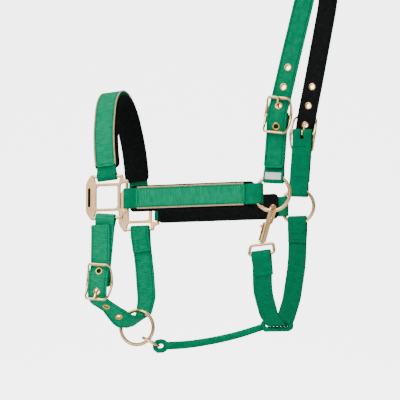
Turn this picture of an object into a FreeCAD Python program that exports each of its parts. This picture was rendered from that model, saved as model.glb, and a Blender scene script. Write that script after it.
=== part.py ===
import FreeCAD, Part
import math
import os

# Head halter, millimetres. The origin is the poll seat, on the inside of the crown's highest
# point. X runs back towards the neck, Y to the off side, Z up. The nose is at -X, and the near
# side (the horse's left) is at -Y. "n" below is the distance outwards from a side plane.

os.makedirs("parts", exist_ok=True)
doc = FreeCAD.newDocument("HeadHalter")
V = FreeCAD.Vector
X_AXIS = V(1, 0, 0)
Y_AXIS = V(0, 1, 0)
Z_AXIS = V(0, 0, 1)

DIMS = [
    ("side_y", 65, "mid-plane to the centre of each side strap"),
    ("ring_x", -55, "cheek ring centres"),
    ("cheek_z", -309, "cheek ring centres, below the poll"),
    ("square_x", -268, "middle of the square's window"),
    ("square_z", -306, "middle of the square's window"),
    ("webbing", 25, "webbing width"),
    ("layer", 2, "one layer of webbing"),
    ("ring_wire", 4.5, "ring wire diameter"),
    ("ring_middle", 43, "ring, middle of the wire, diameter"),
    ("bar_wire", 4, "strap bar diameter on the squares"),
    ("bar_reach", 26, "window middle to strap bar"),
    ("window", 28, "square window, both ways"),
    ("square_thick", 3.6, "square frame thickness"),
    ("overlay_wide", 24, "decorative webbing between its pipings"),
    ("overlay_thick", 1.6, "decorative webbing"),
    ("piping", 1.9, "piping diameter"),
    ("pad_wide", 33, "felt pad width"),
    ("pad_thick", 4.5, "felt pad thickness"),
    ("buckle_long", 45, "buckle frame along the strap"),
    ("buckle_wide", 37, "buckle frame across the strap"),
    ("buckle_rise", 9.8, "end bars stand out from the centre bar"),
    ("buckle_thick", 3, "buckle frame thickness"),
    ("tongue_wide", 2.6, "buckle tongue width"),
    ("tongue_thick", 2, "buckle tongue thickness"),
    ("eyelet_bore", 5.8, "eyelet bore"),
    ("eyelet_flange", 9.4, "eyelet flange diameter"),
    ("eyelet_pitch", 25, "eyelet spacing"),
    ("crown_tilt", 12.5, "crown leans back, degrees"),
    ("crown_outer_thick", 1.7, "crown outer leather"),
    ("crown_lining_thick", 1.6, "crown lining"),
    ("chin_thick", 3, "chin strap thickness"),
    ("throat_thick", 2.6, "throat strap thickness"),
    ("throat_wide", 24, "throat strap width"),
    ("link_wire", 3.2, "chin link wire"),
    ("link_wide", 15, "chin link over its sides, middle of the wire"),
    ("rope_wide", 9, "throat rope diameter"),
    ("strand", 5.2, "rope strand in its eyes"),
    ("hook_wire", 5, "snap hook section"),
    ("barrel_wide", 9.4, "snap barrel diameter"),
    ("bolt_wide", 4.4, "snap bolt diameter"),
    ("bolt_travel", 7, "snap bolt travel"),
    ("eye_wire", 3.6, "swivel eye wire"),
]

sheet = doc.addObject("Spreadsheet::Sheet", "Dims")
for row, (alias, value, note) in enumerate(DIMS, start=1):
    sheet.set(f"A{row}", note)
    sheet.set(f"B{row}", str(value))
    sheet.setAlias(f"B{row}", alias)
doc.recompute()
D = {alias: float(sheet.get(alias)) for alias, _, _ in DIMS}


# ---------------------------------------------------------------- helpers

def rounded(points, radii, closed=False):
    """Lines and tangent arcs through the corner points; radii[i] rounds corner i."""
    count = len(points)
    pts = [V(p[0], p[1], p[2] if len(p) > 2 else 0) for p in points]
    cuts = []
    for i in range(count):
        if not closed and i in (0, count - 1) or radii[i] == 0:
            cuts.append((pts[i], None, pts[i]))
            continue
        back = (pts[i - 1] - pts[i]).normalize()
        ahead = (pts[(i + 1) % count] - pts[i]).normalize()
        half = back.getAngle(ahead) / 2
        reach = radii[i] / math.tan(half)
        bisector = (back + ahead).normalize()
        middle = pts[i] + bisector * (radii[i] / math.sin(half) - radii[i])
        cuts.append((pts[i] + back * reach, middle, pts[i] + ahead * reach))
    pieces = []
    for i in range(count):
        first, middle, last = cuts[i]
        if middle is not None:
            pieces.append(Part.Arc(first, middle, last))
        if i < count - 1 or closed:
            following = cuts[(i + 1) % count][0]
            if (following - last).Length > 1e-6:
                pieces.append(Part.LineSegment(last, following))
    return pieces


def band(points, radii, low, high):
    """Closed 2-D outline of a strap that lies low to high to the left of an open route."""
    pts = [V(p[0], p[1], 0) for p in points]
    sides = []
    for shift in (high, low):
        moved = []
        rounds = []
        for i, point in enumerate(pts):
            into = (point - pts[i - 1]).normalize() if i else None
            away = (pts[i + 1] - point).normalize() if i < len(pts) - 1 else None
            into = into or away
            away = away or into
            left = (V(-into.y, into.x, 0) + V(-away.y, away.x, 0)).normalize()
            stretch = 1 / left.dot(V(-into.y, into.x, 0))
            moved.append(point + left * (shift * stretch))
            bend = into.x * away.y - into.y * away.x
            rounds.append(radii[i] - shift * math.copysign(1, bend) if radii[i] else 0)
        sides.append((moved, rounds))
    left_points, left_rounds = sides[0]
    right_points, right_rounds = sides[1]
    corners = left_points + right_points[::-1]
    return rounded(corners, left_rounds + right_rounds[::-1], closed=True)


def wire_of(pieces):
    return Part.Wire([piece.toShape() for piece in pieces])


def new_sketch(body, role, name, offset=None):
    sketch = body.newObject("Sketcher::SketchObject", name)
    plane = next(f for f in body.Origin.OriginFeatures if f.Role == role)
    sketch.AttachmentSupport = [(plane, "")]
    sketch.MapMode = "FlatFace"
    if offset is not None:
        sketch.AttachmentOffset = FreeCAD.Placement(offset, FreeCAD.Rotation())
    return sketch


def new_body(label):
    body = doc.addObject("PartDesign::Body", label)
    body.Label = label
    return body


def pad(body, role, loops, length, name, midplane=True, offset=None):
    """Pads closed outlines; length is a sheet expression."""
    sketch = new_sketch(body, role, name + "Sketch", offset)
    for loop in loops:
        sketch.addGeometry(loop, False)
    feature = body.newObject("PartDesign::Pad", name)
    feature.Profile = sketch
    feature.setExpression("Length", length)
    feature.SideType = "Symmetric" if midplane else "One side"
    return feature


def pocket(body, role, loops, length, name, midplane=True, offset=None):
    sketch = new_sketch(body, role, name + "Sketch", offset)
    for loop in loops:
        sketch.addGeometry(loop, False)
    feature = body.newObject("PartDesign::Pocket", name)
    feature.Profile = sketch
    feature.setExpression("Length", length)
    feature.SideType = "Symmetric" if midplane else "One side"
    return feature


def place(thing, point, rotation=None):
    thing.Placement = FreeCAD.Placement(V(*point), rotation or FreeCAD.Rotation())


def turn(axis, degrees):
    return FreeCAD.Rotation(axis, degrees)


def feature_of(label, shape):
    thing = doc.addObject("Part::Feature", label)
    thing.Label = label
    thing.Shape = shape
    return thing


def circle(x, y, radius):
    return [Part.Circle(V(x, y, 0), Z_AXIS, radius)]


def box_loop(x0, y0, x1, y1, radius=0):
    return rounded([(x0, y0), (x1, y0), (x1, y1), (x0, y1)], [radius] * 4, closed=True)


# Side frames: near-side pieces are drawn looking outwards along -Y. Turning one half a turn
# about X makes the off-side piece, and half a turn about Z does it where the shape allows.

SIDES = [("near", -1), ("off", 1)]
NODES = []


def keep(thing):
    NODES.append(thing)
    return thing


# ---------------------------------------------------------------- straps with an eye at each end

def eye_corners(end, way, radius, flat, taper, thick):
    """(s, n, rounding) down one side of a folded end, and the teardrop hole inside it.

    end is the inside of the fold, way is +1 when the fold faces +s, flat is how long the hole
    keeps its full height, and taper is the run over which the two layers come together.
    """
    grown = radius + thick
    shoulder = end - way * (radius + flat + 1)
    meet = shoulder - way * taper
    side = [(meet, thick, 12), (shoulder, grown, 5), (end + way * thick, grown, grown * 0.98)]
    hole = [(meet + way * 3, 0, 0), (shoulder, radius, 2), (end, radius, radius * 0.98),
            (end, -radius, radius * 0.98), (shoulder, -radius, 2)]
    return side, hole


def loop_of(corners):
    return rounded([c[:2] for c in corners], [c[2] for c in corners], closed=True)


def mirrored(corners):
    return [(s, -n, r) for s, n, r in reversed(corners)]


def eyed_strap(label, first, last):
    """A doubled strap, folded round something at both ends: length X, thickness Y, width Z.

    first and last are (inside of the fold, inner radius, flat run, taper).
    """
    ahead, hole_ahead = eye_corners(last[0], 1, *last[1:], D["layer"])
    behind, hole_behind = eye_corners(first[0], -1, *first[1:], D["layer"])
    outline = ahead + mirrored(ahead)
    outline += [(s, -n, r) for s, n, r in behind] + list(reversed(behind))
    body = new_body(label)
    loops = [loop_of(outline), loop_of(hole_ahead), loop_of(hole_behind)]
    pad(body, "XY_Plane", loops, "Dims.webbing", label + "Pad")
    return body


# ---------------------------------------------------------------- routes and ribbons

def unit(vector):
    return V(vector).normalize()


def samples(pieces, count):
    """Points and tangents at even steps along a route of lines and arcs."""
    points = wire_of(pieces).discretize(Number=count)
    out = []
    for i, point in enumerate(points):
        before = points[max(i - 1, 0)]
        after = points[min(i + 1, count - 1)]
        out.append((point, unit(after - before)))
    return out


def across_at(share, table):
    """Width direction at a share of the route, blended between the table's entries."""
    for (s0, a0), (s1, a1) in zip(table, table[1:]):
        if share <= s1:
            blend = (share - s0) / (s1 - s0)
            blend = blend * blend * (3 - 2 * blend)
            return a0 * (1 - blend) + a1 * blend
    return table[-1][1]


def stations(pieces, table, count):
    """(point, outward, across) along a route; outward is across x tangent."""
    out = []
    for i, (point, tangent) in enumerate(samples(pieces, count)):
        rough = across_at(i / (count - 1), table)
        across = unit(rough - tangent * rough.dot(tangent))
        out.append((point, across.cross(tangent), across))
    return out


def ribbon(frames, width, low, high):
    """A flat band whose faces lie low and high millimetres outside the route."""
    sections = []
    for point, outward, across in frames:
        side = across * (width / 2)
        corners = [side + outward * high, outward * high - side,
                   outward * low - side, side + outward * low]
        corners = [point + corner for corner in corners]
        sections.append(Part.makePolygon(corners + corners[:1]))
    return Part.makeLoft(sections, True, True)


def frame_at(frames, distance):
    """The frame that lies a distance along the route."""
    gone = 0
    for (p0, o0, a0), (p1, o1, a1) in zip(frames, frames[1:]):
        step = (p1 - p0).Length
        if gone + step >= distance:
            blend = (distance - gone) / step
            return p0 + (p1 - p0) * blend, unit(o0 * (1 - blend) + o1 * blend), a0
        gone += step
    return frames[-1]


def eyelet_parts(frame, low, high):
    """The eyelet and the hole that it sits in, for a strap from low to high."""
    point, outward, _ = frame
    flange = 0.6
    bore = D["eyelet_bore"]
    foot = point + outward * (low - flange)
    tall = high - low + 2 * flange
    solid = Part.makeCylinder(bore / 2 + 0.5, tall, foot, outward)
    for start in (0, tall - flange):
        disc = Part.makeCylinder(D["eyelet_flange"] / 2, flange, foot + outward * start, outward)
        solid = solid.fuse(disc)
    solid = solid.cut(Part.makeCylinder(bore / 2, tall + 2, foot - outward, outward))
    hole = Part.makeCylinder(bore / 2 + 0.55, tall + 6, foot - outward * 3, outward)
    return solid.removeSplitter(), hole


def tube(pieces, diameter):
    wire = wire_of(pieces)
    edge = wire.OrderedEdges[0]
    start = edge.valueAt(edge.FirstParameter)
    tangent = edge.tangentAt(edge.FirstParameter)
    profile = Part.Wire(Part.makeCircle(diameter / 2, start, tangent))
    shell = Part.BRepOffsetAPI.MakePipeShell(wire)
    shell.setFrenetMode(False)
    shell.add(profile)
    shell.build()
    shell.makeSolid()
    solid = shell.shape()
    if solid.Volume < 0:
        solid.reverse()
    return solid


# ---------------------------------------------------------------- squares

half = D["window"] / 2
rim = half + 3.6
bar_at = D["bar_reach"]
bar_end = 19.0
plate_out = -27.5
plate_tall = 29.0


def make_square(label):
    """Window frame, curved inlay plate at the nose, lugs at the corners and three strap bars."""
    body = new_body(label)
    corner = 3.0
    lug = D["bar_wire"] / 2
    outline = [
        (plate_out, -plate_tall + 10, 16), (plate_out, plate_tall - 10, 16),
        (-rim - 2, plate_tall + 0.5, 3), (-rim + 1, bar_at + lug, 1),
        (-rim + 1, bar_at - lug, 1), (-rim + 3, rim, 2.5),
        (rim - 1.5, rim, 2.5), (bar_end - 2, bar_at - lug, 0.8),
        (bar_end - 2, bar_at + lug, 0.8), (bar_end + 2, bar_at + lug, 1.5),
        (rim + 2.4, rim + 2.4, 5), (bar_at + lug, bar_end + 2, 1.5),
        (bar_at + lug, bar_end - 2, 0.8), (bar_at - lug, bar_end - 2, 0.8),
        (rim, rim - 1.5, 2.5),
    ]
    lower = [(x, -z, r) for x, z, r in reversed(outline[2:])]
    loop = outline + lower
    # the XZ sketch plane looks along -Y, so its second axis is Z
    edge = rounded([p[:2] for p in loop], [p[2] for p in loop], closed=True)
    window = box_loop(-half, -half, half, half, corner)
    pad(body, "XZ_Plane", [edge, window], "Dims.square_thick", label + "Frame")
    lug_x = -rim
    for sign in (1, -1):
        bar = new_sketch(body, "YZ_Plane", f"{label}Bar{sign + 1}", V(0, 0, lug_x - 1))
        bar.addGeometry(circle(0, sign * bar_at, D["bar_wire"] / 2), False)
        feature = body.newObject("PartDesign::Pad", f"{label}BarPad{sign + 1}")
        feature.Profile = bar
        feature.Length = bar_end - lug_x + 1
    side_bar = new_sketch(body, "XY_Plane", f"{label}SideBar", V(0, 0, -bar_end))
    side_bar.addGeometry(circle(bar_at, 0, D["bar_wire"] / 2), False)
    feature = body.newObject("PartDesign::Pad", f"{label}SideBarPad")
    feature.Profile = side_bar
    feature.Length = 2 * bar_end
    slot = rounded([(-24.6, -12.1), (-24.6, 12.1), (-21.3, 12.1), (-21.3, -12.1)], [1.5] * 4,
                   closed=True)
    cut = new_sketch(body, "XZ_Plane", label + "InlaySeat", V(0, 0, D["square_thick"] / 2 - 0.8))
    cut.addGeometry(slot, False)
    seat = body.newObject("PartDesign::Pocket", label + "InlayPocket")
    seat.Profile = cut
    seat.Length = 3
    seat.Reversed = True
    return body


def make_inlay(label):
    body = new_body(label)
    loop = rounded([(-24.5, -12), (-24.5, 12), (-21.4, 12), (-21.4, -12)],
                   [1.4] * 4, closed=True)
    offset = V(0, 0, D["square_thick"] / 2 - 0.75)
    pad(body, "XZ_Plane", [loop], "Dims.square_thick / 4", label + "Pad", False, offset)
    return body


for side, sign in SIDES:
    spot = (D["square_x"], sign * D["side_y"], D["square_z"])
    flip = turn(X_AXIS, 0 if side == "near" else 180)
    square = keep(make_square(f"{side}_square"))
    place(square, spot, flip)
    inlay = keep(make_inlay(f"{side}_square_inlay"))
    place(inlay, spot, flip)


# ---------------------------------------------------------------- rings

def make_ring(label, point):
    ring = doc.addObject("Part::Torus", label)
    ring.Label = label
    ring.setExpression("Radius1", "Dims.ring_middle / 2")
    ring.setExpression("Radius2", "Dims.ring_wire / 2")
    place(ring, point, turn(X_AXIS, 90))
    return ring


CHIN_RING = V(-249, 0, -465)
for side, sign in SIDES:
    keep(make_ring(f"{side}_cheek_ring", (D["ring_x"], sign * D["side_y"], D["cheek_z"])))
keep(make_ring("chin_ring", CHIN_RING))

# a flat strap inside a ring stops where its edges meet the wire
ring_inner = (D["ring_middle"] - D["ring_wire"]) / 2
strap_reach = math.sqrt((ring_inner - 0.4) ** 2 - (D["webbing"] / 2) ** 2)
CHEEK_RISE = 0.4
cheek_reach = math.sqrt((ring_inner - 0.4) ** 2 - (D["webbing"] / 2 + CHEEK_RISE) ** 2)
ring_eye = (2.75, 4.2, 10)
bar_eye = (2.4, 0, 10)

# ---------------------------------------------------------------- cheek pieces

cheek_start = D["square_x"] + D["bar_reach"]
cheek_end = D["ring_x"] - cheek_reach
cheek_mid_z = D["cheek_z"] + CHEEK_RISE


def strip(label, x0, x1, tall, low, thickness, radius):
    """A flat rounded rectangle on the XZ plane, lying low millimetres outside its side plane."""
    body = new_body(label)
    loop = box_loop(x0, -tall / 2, x1, tall / 2, radius)
    pad(body, "XZ_Plane", [loop], thickness, label + "Pad", False, V(0, 0, low))
    return body


OVERLAY_LOW = D["layer"] + 0.05
PIPING_LOW = OVERLAY_LOW + 0.05
overlay_x = (cheek_start + 12.6, cheek_end - 20.5)
pad_x = (cheek_start + 2, cheek_end - 10)
PAD_OUT = -D["layer"] - 0.1


def cheek_pad(label):
    """A felt pad, thinned at both ends where the webbing's folds stand proud of it."""
    body = new_body(label)
    inside = PAD_OUT - D["pad_thick"]
    thin = -D["layer"] - 2.9
    x0, x1 = pad_x
    f0, f1 = overlay_x
    profile = [(x0, inside), (x1, inside), (x1, thin), (f1 + 3, thin), (f1 - 4, PAD_OUT),
               (f0 + 4, PAD_OUT), (f0 - 3, thin), (x0, thin)]
    # Y is the side's outward direction turned round, so the near side is drawn at -n
    loop = rounded([(x, -n) for x, n in profile], [0] * 8, closed=True)
    pad(body, "XY_Plane", [loop], "Dims.pad_wide", label + "Pad")
    tall = D["pad_wide"] / 2
    outside = box_loop(x0 - 9, -tall - 9, x1 + 9, tall + 9)
    kept = box_loop(x0, -tall, x1, tall, 6)
    pocket(body, "XZ_Plane", [outside, kept], "Dims.side_y", label + "Corners")
    return body


for side, sign in SIDES:
    spot = (0, sign * D["side_y"], cheek_mid_z)
    flip = turn(X_AXIS, 0 if side == "near" else 180)
    web = keep(eyed_strap(f"{side}_cheek_webbing", (cheek_start - 2.4, *bar_eye),
                          (cheek_end, *ring_eye)))
    place(web, spot)
    over = keep(strip(f"{side}_cheek_overlay", *overlay_x, D["overlay_wide"], OVERLAY_LOW,
                      "Dims.overlay_thick", 2.5))
    place(over, spot, flip)
    felt = keep(cheek_pad(f"{side}_cheek_pad"))
    place(felt, spot, flip)
    rods = []
    for edge in (1, -1):
        rod = doc.addObject("Part::Cylinder", f"{side}_cheek_rod{edge + 1}")
        rod.setExpression("Radius", "Dims.piping / 2")
        rod.Height = overlay_x[1] - overlay_x[0] - 1
        across = edge * (D["overlay_wide"] + D["piping"] + 0.1) / 2
        out = sign * (D["side_y"] + PIPING_LOW + D["piping"] / 2)
        place(rod, (overlay_x[0] + 0.5, out, cheek_mid_z + across), turn(Y_AXIS, 90))
        rods.append(rod)
    pair = doc.addObject("Part::MultiFuse", f"{side}_cheek_piping")
    pair.Shapes = rods
    pair.Label = f"{side}_cheek_piping"
    keep(pair)

# ---------------------------------------------------------------- buckle frames and tongues

tilt = D["crown_tilt"]
lean = unit(V(math.sin(math.radians(tilt)), 0, math.cos(math.radians(tilt))))
BAR_DROP = 219.2
crown_bar = lean * -BAR_DROP
ring_to_bar = crown_bar - V(D["ring_x"], 0, D["cheek_z"])
billet_tilt = math.degrees(math.atan2(ring_to_bar.x, ring_to_bar.z))
buckle_tilt = (tilt + billet_tilt) / 2
rise = D["buckle_rise"]
bar_row = 21.0
arc_radius = (bar_row ** 2 + rise ** 2) / (2 * rise)
half_thick = D["buckle_thick"] / 2


def make_buckle(label):
    """A bowed centre-bar frame: Z along the strap, X across it, -Y outwards."""
    body = new_body(label)
    end = D["buckle_long"] / 2 + 2
    loop = []
    inner = arc_radius - half_thick
    outer = arc_radius + half_thick
    angle = math.asin(end / arc_radius)
    ends = []
    for radius in (inner, outer):
        low = V(radius * math.cos(angle) - arc_radius, -radius * math.sin(angle), 0)
        high = V(low.x, -low.y, 0)
        loop.append(Part.Arc(low, V(radius - arc_radius, 0, 0), high))
        ends.append((low, high))
    for near, far in zip(ends[0], ends[1]):
        loop.append(Part.LineSegment(near, far))
    # the YZ sketch plane has Y then Z; the body is turned so that its Y points outwards
    pad(body, "YZ_Plane", [loop], "Dims.buckle_wide + 2", label + "Bow")
    wide = D["buckle_wide"] / 2
    long = D["buckle_long"] / 2
    cutter = box_loop(-wide - 5, -long - 8, wide + 5, long + 8)
    barrel_points = [(-wide + 3.5, -long), (wide - 3.5, -long), (wide, 0), (wide - 3.5, long),
                     (-wide + 3.5, long), (-wide, 0)]
    barrel = rounded(barrel_points, [6, 6, 60, 6, 6, 60], closed=True)
    side = wide - 3.1
    windows = []
    for low, high in ((1.5, long - 2.8), (-long + 2.8, -1.5)):
        corners = [(-side + 1, low), (side - 1, low), (side - 1.6, high), (-side + 1.6, high)]
        windows.append(rounded(corners, [1.2] * 4, closed=True))
    pocket(body, "XZ_Plane", [cutter, barrel] + windows, "Dims.buckle_wide * 3", label + "Cut")
    return body


EYELET_AT = 12


def make_tongue(label):
    """Folds round the centre bar, rises through an eyelet and rests on the end bar."""
    body = new_body(label)
    middle = D["tongue_thick"] / 2
    loop_mid = 2.55 + middle
    route = [(-loop_mid, 0), (-loop_mid + 0.1, 10.2), (-10.8, 14.4), (-15.7, 22)]
    blade = band(route, [0, 1.6, 1.6, 0], -middle, middle)
    pad(body, "YZ_Plane", [blade], "Dims.tongue_wide", label + "Blade")
    loop = [circle(0, 0, loop_mid + middle), circle(0, 0, loop_mid - middle)]
    pad(body, "YZ_Plane", loop, "Dims.tongue_wide", label + "Loop")
    return body


def stand(thing, point, out_sign, tilt_degrees, flipped=False):
    """Places a buckle piece: its -Y outwards at out_sign -1, its Z along the strap."""
    spin = turn(Y_AXIS, tilt_degrees)
    if out_sign > 0:
        spin = spin * turn(Z_AXIS, 180)
    if flipped:
        spin = spin * turn(Y_AXIS, 180)
    place(thing, point, spin)


# ---------------------------------------------------------------- crown billets and buckles

BILLET_SLOT = 4.4
for side, sign in SIDES:
    bar_point = V(crown_bar.x, sign * D["side_y"], crown_bar.z)
    frame = keep(make_buckle(f"crown_{side}_buckle_frame"))
    stand(frame, bar_point, sign, buckle_tilt)
    tongue = keep(make_tongue(f"crown_{side}_buckle_tongue"))
    stand(tongue, bar_point, sign, buckle_tilt)
    billet = keep(eyed_strap(f"crown_{side}_billet", (strap_reach, *ring_eye),
                             (ring_to_bar.Length + 2.9, 2.9, 0, 13)))
    notch = box_loop(ring_to_bar.Length - 8, -BILLET_SLOT / 2, ring_to_bar.Length + 8, BILLET_SLOT / 2)
    pocket(billet, "XZ_Plane", [notch], "Dims.webbing", f"crown_{side}_billet_slot")
    spin = turn(Y_AXIS, billet_tilt - 90)
    place(billet, (D["ring_x"], sign * D["side_y"], D["cheek_z"]), spin)

label_along = (16.5, 25)
LABEL_TALL = 20
LABEL_LOW = D["layer"] + ring_eye[0] + 0.05
tag = keep(strip("care_label", *label_along, LABEL_TALL, LABEL_LOW, "Dims.layer / 5", 0.4))
place(tag, (D["ring_x"], -D["side_y"], D["cheek_z"]), turn(Y_AXIS, billet_tilt - 90))

# ---------------------------------------------------------------- crown strap


def crown_point(up, out, side_sign):
    """A point up from the centre bar (down is negative), out from the side plane."""
    way = lean if up > 0 else unit(ring_to_bar)
    spot = crown_bar + way * up
    return (spot.x, side_sign * (D["side_y"] + out), spot.z)


TAIL = 65
rising = [(-TAIL, 5.4, 0), (-55, 3.75, 12), (-20, 3.75, 14), (-7.5, 7.2, 8), (7.5, 7.2, 8),
          (20, 3.5, 14), (74, 0, 150)]
arch = [(-56.5, -60, 80), (-42, -12, 40), (0, 5.9, 42)]
near_points = [crown_point(up, out, -1) for up, out, _ in rising]
near_points += [(lean.x * up, y, lean.z * up) for y, up, _ in arch]
far_points = [(x, -y, z) for x, y, z in reversed(near_points[:-1])]
crown_radii = [r for _, _, r in rising + arch]
crown_radii += list(reversed(crown_radii[:-1]))
crown_route = rounded(near_points + far_points, crown_radii)
crown_length = wire_of(crown_route).Length
tail_across = V(unit(ring_to_bar).z, 0, -unit(ring_to_bar).x)
arch_across = V(lean.z, 0, -lean.x)
bend0 = (TAIL - 12) / crown_length
bend1 = (TAIL + 14) / crown_length
crown_table = [(0, tail_across), (bend0, tail_across), (bend1, arch_across),
               (1 - bend1, arch_across), (1 - bend0, tail_across), (1, tail_across)]
crown_frames = stations(crown_route, crown_table, 240)
outer_high = D["crown_outer_thick"] + 0.05
lining_low = -D["crown_lining_thick"] - 0.05
crown_outer = ribbon(crown_frames, D["webbing"], 0.05, outer_high)
crown_lining = ribbon(crown_frames, D["webbing"] - 0.6, lining_low, -0.05)
for side, _ in SIDES:
    rings = []
    for step in range(-1, 3):
        distance = TAIL + EYELET_AT + step * D["eyelet_pitch"]
        if side == "off":
            distance = crown_length - distance
        eyelet, hole = eyelet_parts(frame_at(crown_frames, distance), lining_low, outer_high)
        crown_outer = crown_outer.cut(hole)
        crown_lining = crown_lining.cut(hole)
        rings.append(eyelet)
    keep(feature_of(f"crown_{side}_eyelets", Part.makeCompound(rings)))
keep(feature_of("crown_strap", crown_outer))
keep(feature_of("crown_lining", crown_lining))

# ---------------------------------------------------------------- noseband

NOSE_TILT = -5.2
nose_base = (D["square_x"], 0, D["square_z"] + D["bar_reach"])
nose_low = [(-65, 4, 0), (-65, 32, 90), (-61.5, 57, 90), (-41, 100, 55), (0, 124, 52)]
nose_corners = nose_low + [(-y, up, r) for y, up, r in reversed(nose_low[:-1])]


def nose_band(first, last, low, high):
    """Outline of one layer of the noseband in its own plane; first and last are its ends."""
    points = [p[:2] for p in nose_corners]
    radii = [p[2] for p in nose_corners]
    points[0] = (-D["side_y"], first)
    points[-1] = (D["side_y"], last)
    return band(points, radii, low, high)


def nose_offset(first, shift):
    """Corner points (y, up, rounding) of the noseband's route moved outwards."""
    points = [(-D["side_y"], first, 0)] + nose_corners[1:-1] + [(D["side_y"], first, 0)]
    pts = [V(y, up, 0) for y, up, _ in points]
    moved = []
    for i, point in enumerate(pts):
        into = unit(point - pts[i - 1]) if i else None
        away = unit(pts[i + 1] - point) if i < len(pts) - 1 else None
        into = into or away
        away = away or into
        left = unit(V(-into.y - away.y, into.x + away.x, 0))
        spot = point + left * (shift / left.dot(V(-into.y, into.x, 0)))
        bend = into.x * away.y - into.y * away.x
        turned = points[i][2] - shift * math.copysign(1, bend) if points[i][2] else 0
        moved.append((spot.x, spot.y, turned))
    return moved


def arch_piece(label, loops, width):
    body = new_body(label)
    pad(body, "YZ_Plane", loops, width, label + "Pad")
    place(body, nose_base, turn(Y_AXIS, NOSE_TILT))
    return body


def nose_webbing(label):
    """The base webbing: two layers over the nose, folded round a bar at each end."""
    body = new_body(label)
    radius = 3.5
    eye_side, eye_hole = eye_corners(-radius, -1, radius, 0, 8, D["layer"])
    start = eye_side[0][0] - 1
    arch = nose_band(start, start, -D["layer"], D["layer"])
    pad(body, "YZ_Plane", [arch], "Dims.webbing", label + "Arch")
    for sign in (-1, 1):
        meet = (eye_side[0][0], eye_side[0][1], 0)
        around = [meet] + eye_side[1:] + mirrored(eye_side[1:]) + mirrored([meet])
        loops = []
        for corners in (around, eye_hole):
            points = [(sign * D["side_y"] + n, up, r) for up, n, r in corners]
            loops.append(loop_of(points))
        pad(body, "YZ_Plane", loops, "Dims.webbing", f"{label}Eye{sign + 1}")
    place(body, nose_base, turn(Y_AXIS, NOSE_TILT))
    return body


OVER_NOSE = 12.5
PAD_NOSE = 10.5
pad_high = -D["layer"] - 0.1
keep(nose_webbing("noseband_webbing"))
keep(arch_piece("noseband_overlay",
                [nose_band(OVER_NOSE, OVER_NOSE, OVERLAY_LOW, OVERLAY_LOW + D["overlay_thick"])],
                "Dims.overlay_wide"))
keep(arch_piece("noseband_pad",
                [nose_band(PAD_NOSE, PAD_NOSE, pad_high - D["pad_thick"], pad_high)],
                "Dims.pad_wide"))
piping_out = PIPING_LOW + D["piping"] / 2
piping_side = (D["overlay_wide"] + D["piping"] + 0.1) / 2
tubes = []
for sign in (-1, 1):
    outer_corners = nose_offset(OVER_NOSE + 0.5, piping_out)
    route = rounded([(sign * piping_side, y, up) for y, up, _ in outer_corners],
                    [r for _, _, r in outer_corners])
    tubes.append(tube(route, D["piping"]))
nose_piping = keep(feature_of("noseband_piping", Part.makeCompound(tubes)))
place(nose_piping, nose_base, turn(Y_AXIS, NOSE_TILT))

# ---------------------------------------------------------------- chin billet, buckle and strap

chin_top = V(-269.5, -D["side_y"], D["square_z"] - D["bar_reach"])
chin_bar = V(-277, -D["side_y"], -412.5)
chin_drop = chin_bar - chin_top
chin_down = unit(chin_drop)
chin_turn = math.degrees(math.atan2(-chin_drop.z, chin_drop.x))
chin_tilt = math.degrees(math.atan2(-chin_drop.x, -chin_drop.z))
billet = keep(eyed_strap("chin_billet", (-3.5, 3.5, 0, 13), (chin_drop.Length + 2.9, 2.9, 0, 13)))
notch = box_loop(chin_drop.Length - 8, -BILLET_SLOT / 2, chin_drop.Length + 8, BILLET_SLOT / 2)
pocket(billet, "XZ_Plane", [notch], "Dims.webbing", "chin_billet_slot")
place(billet, chin_top, turn(Y_AXIS, chin_turn))
frame = keep(make_buckle("chin_buckle_frame"))
stand(frame, chin_bar, -1, chin_tilt, flipped=True)
tongue = keep(make_tongue("chin_buckle_tongue"))
stand(tongue, chin_bar, -1, chin_tilt, flipped=True)

CHIN_TAIL = 72
off_y = D["side_y"]
off_bar_z = D["square_z"] - D["bar_reach"]
chin_fold = 2.4 + D["chin_thick"] / 2
chin_points = []
for down, out, radius, aside in [(-CHIN_TAIL, 5.4, 0, -4.5), (-62, 3.65, 12, -3.6),
                                 (-20, 3.65, 14, 0), (-7.5, 7.1, 8, 0), (7.5, 7.1, 8, 0),
                                 (21.5, 3.3, 14, 0)]:
    spot = chin_bar + chin_down * down
    chin_points.append((spot.x + aside, spot.y - out, spot.z, radius))
# under the jaw, through the ring and up the off side, chosen by eye
chin_points += [
    (-266, -52, -445, 24),
    (-257.5, -27, -458.5, 26),
    (-253, 0, -457.5, 60),
    (-251, 30, -452, 24),
    (-254, 56, -424, 30),
    (-260, off_y + 1.7, -388, 60),
    (-264, off_y + 1.7, -354, 16),
    (-265.5, off_y + chin_fold, -341, 16),
    (-266, off_y + chin_fold, off_bar_z + chin_fold, chin_fold * 0.99),
    (-266, off_y - chin_fold, off_bar_z + chin_fold, chin_fold * 0.99),
    (-265.5, off_y - chin_fold, -341, 16),
    (-264, off_y - 1.6, -354, 16),
    (-263, off_y - 1.6, -362, 0),
]
chin_route = rounded([p[:3] for p in chin_points], [p[3] for p in chin_points])
near_across = V(-chin_down.z, 0, chin_down.x)
under_across = V(0.83, 0, 0.55)
chin_table = [(0, near_across), (0.29, near_across), (0.38, under_across),
              (0.5, under_across), (0.74, V(0.99, 0, -0.12)), (0.84, X_AXIS), (1, X_AXIS)]
chin_frames = stations(chin_route, chin_table, 260)
chin_half = D["chin_thick"] / 2
chin_strap = ribbon(chin_frames, D["webbing"], -chin_half, chin_half)
rings = []
for step in range(-1, 3):
    distance = CHIN_TAIL + EYELET_AT + step * D["eyelet_pitch"]
    eyelet, hole = eyelet_parts(frame_at(chin_frames, distance), -chin_half, chin_half)
    chin_strap = chin_strap.cut(hole)
    rings.append(eyelet)
keep(feature_of("chin_strap", chin_strap))
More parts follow.
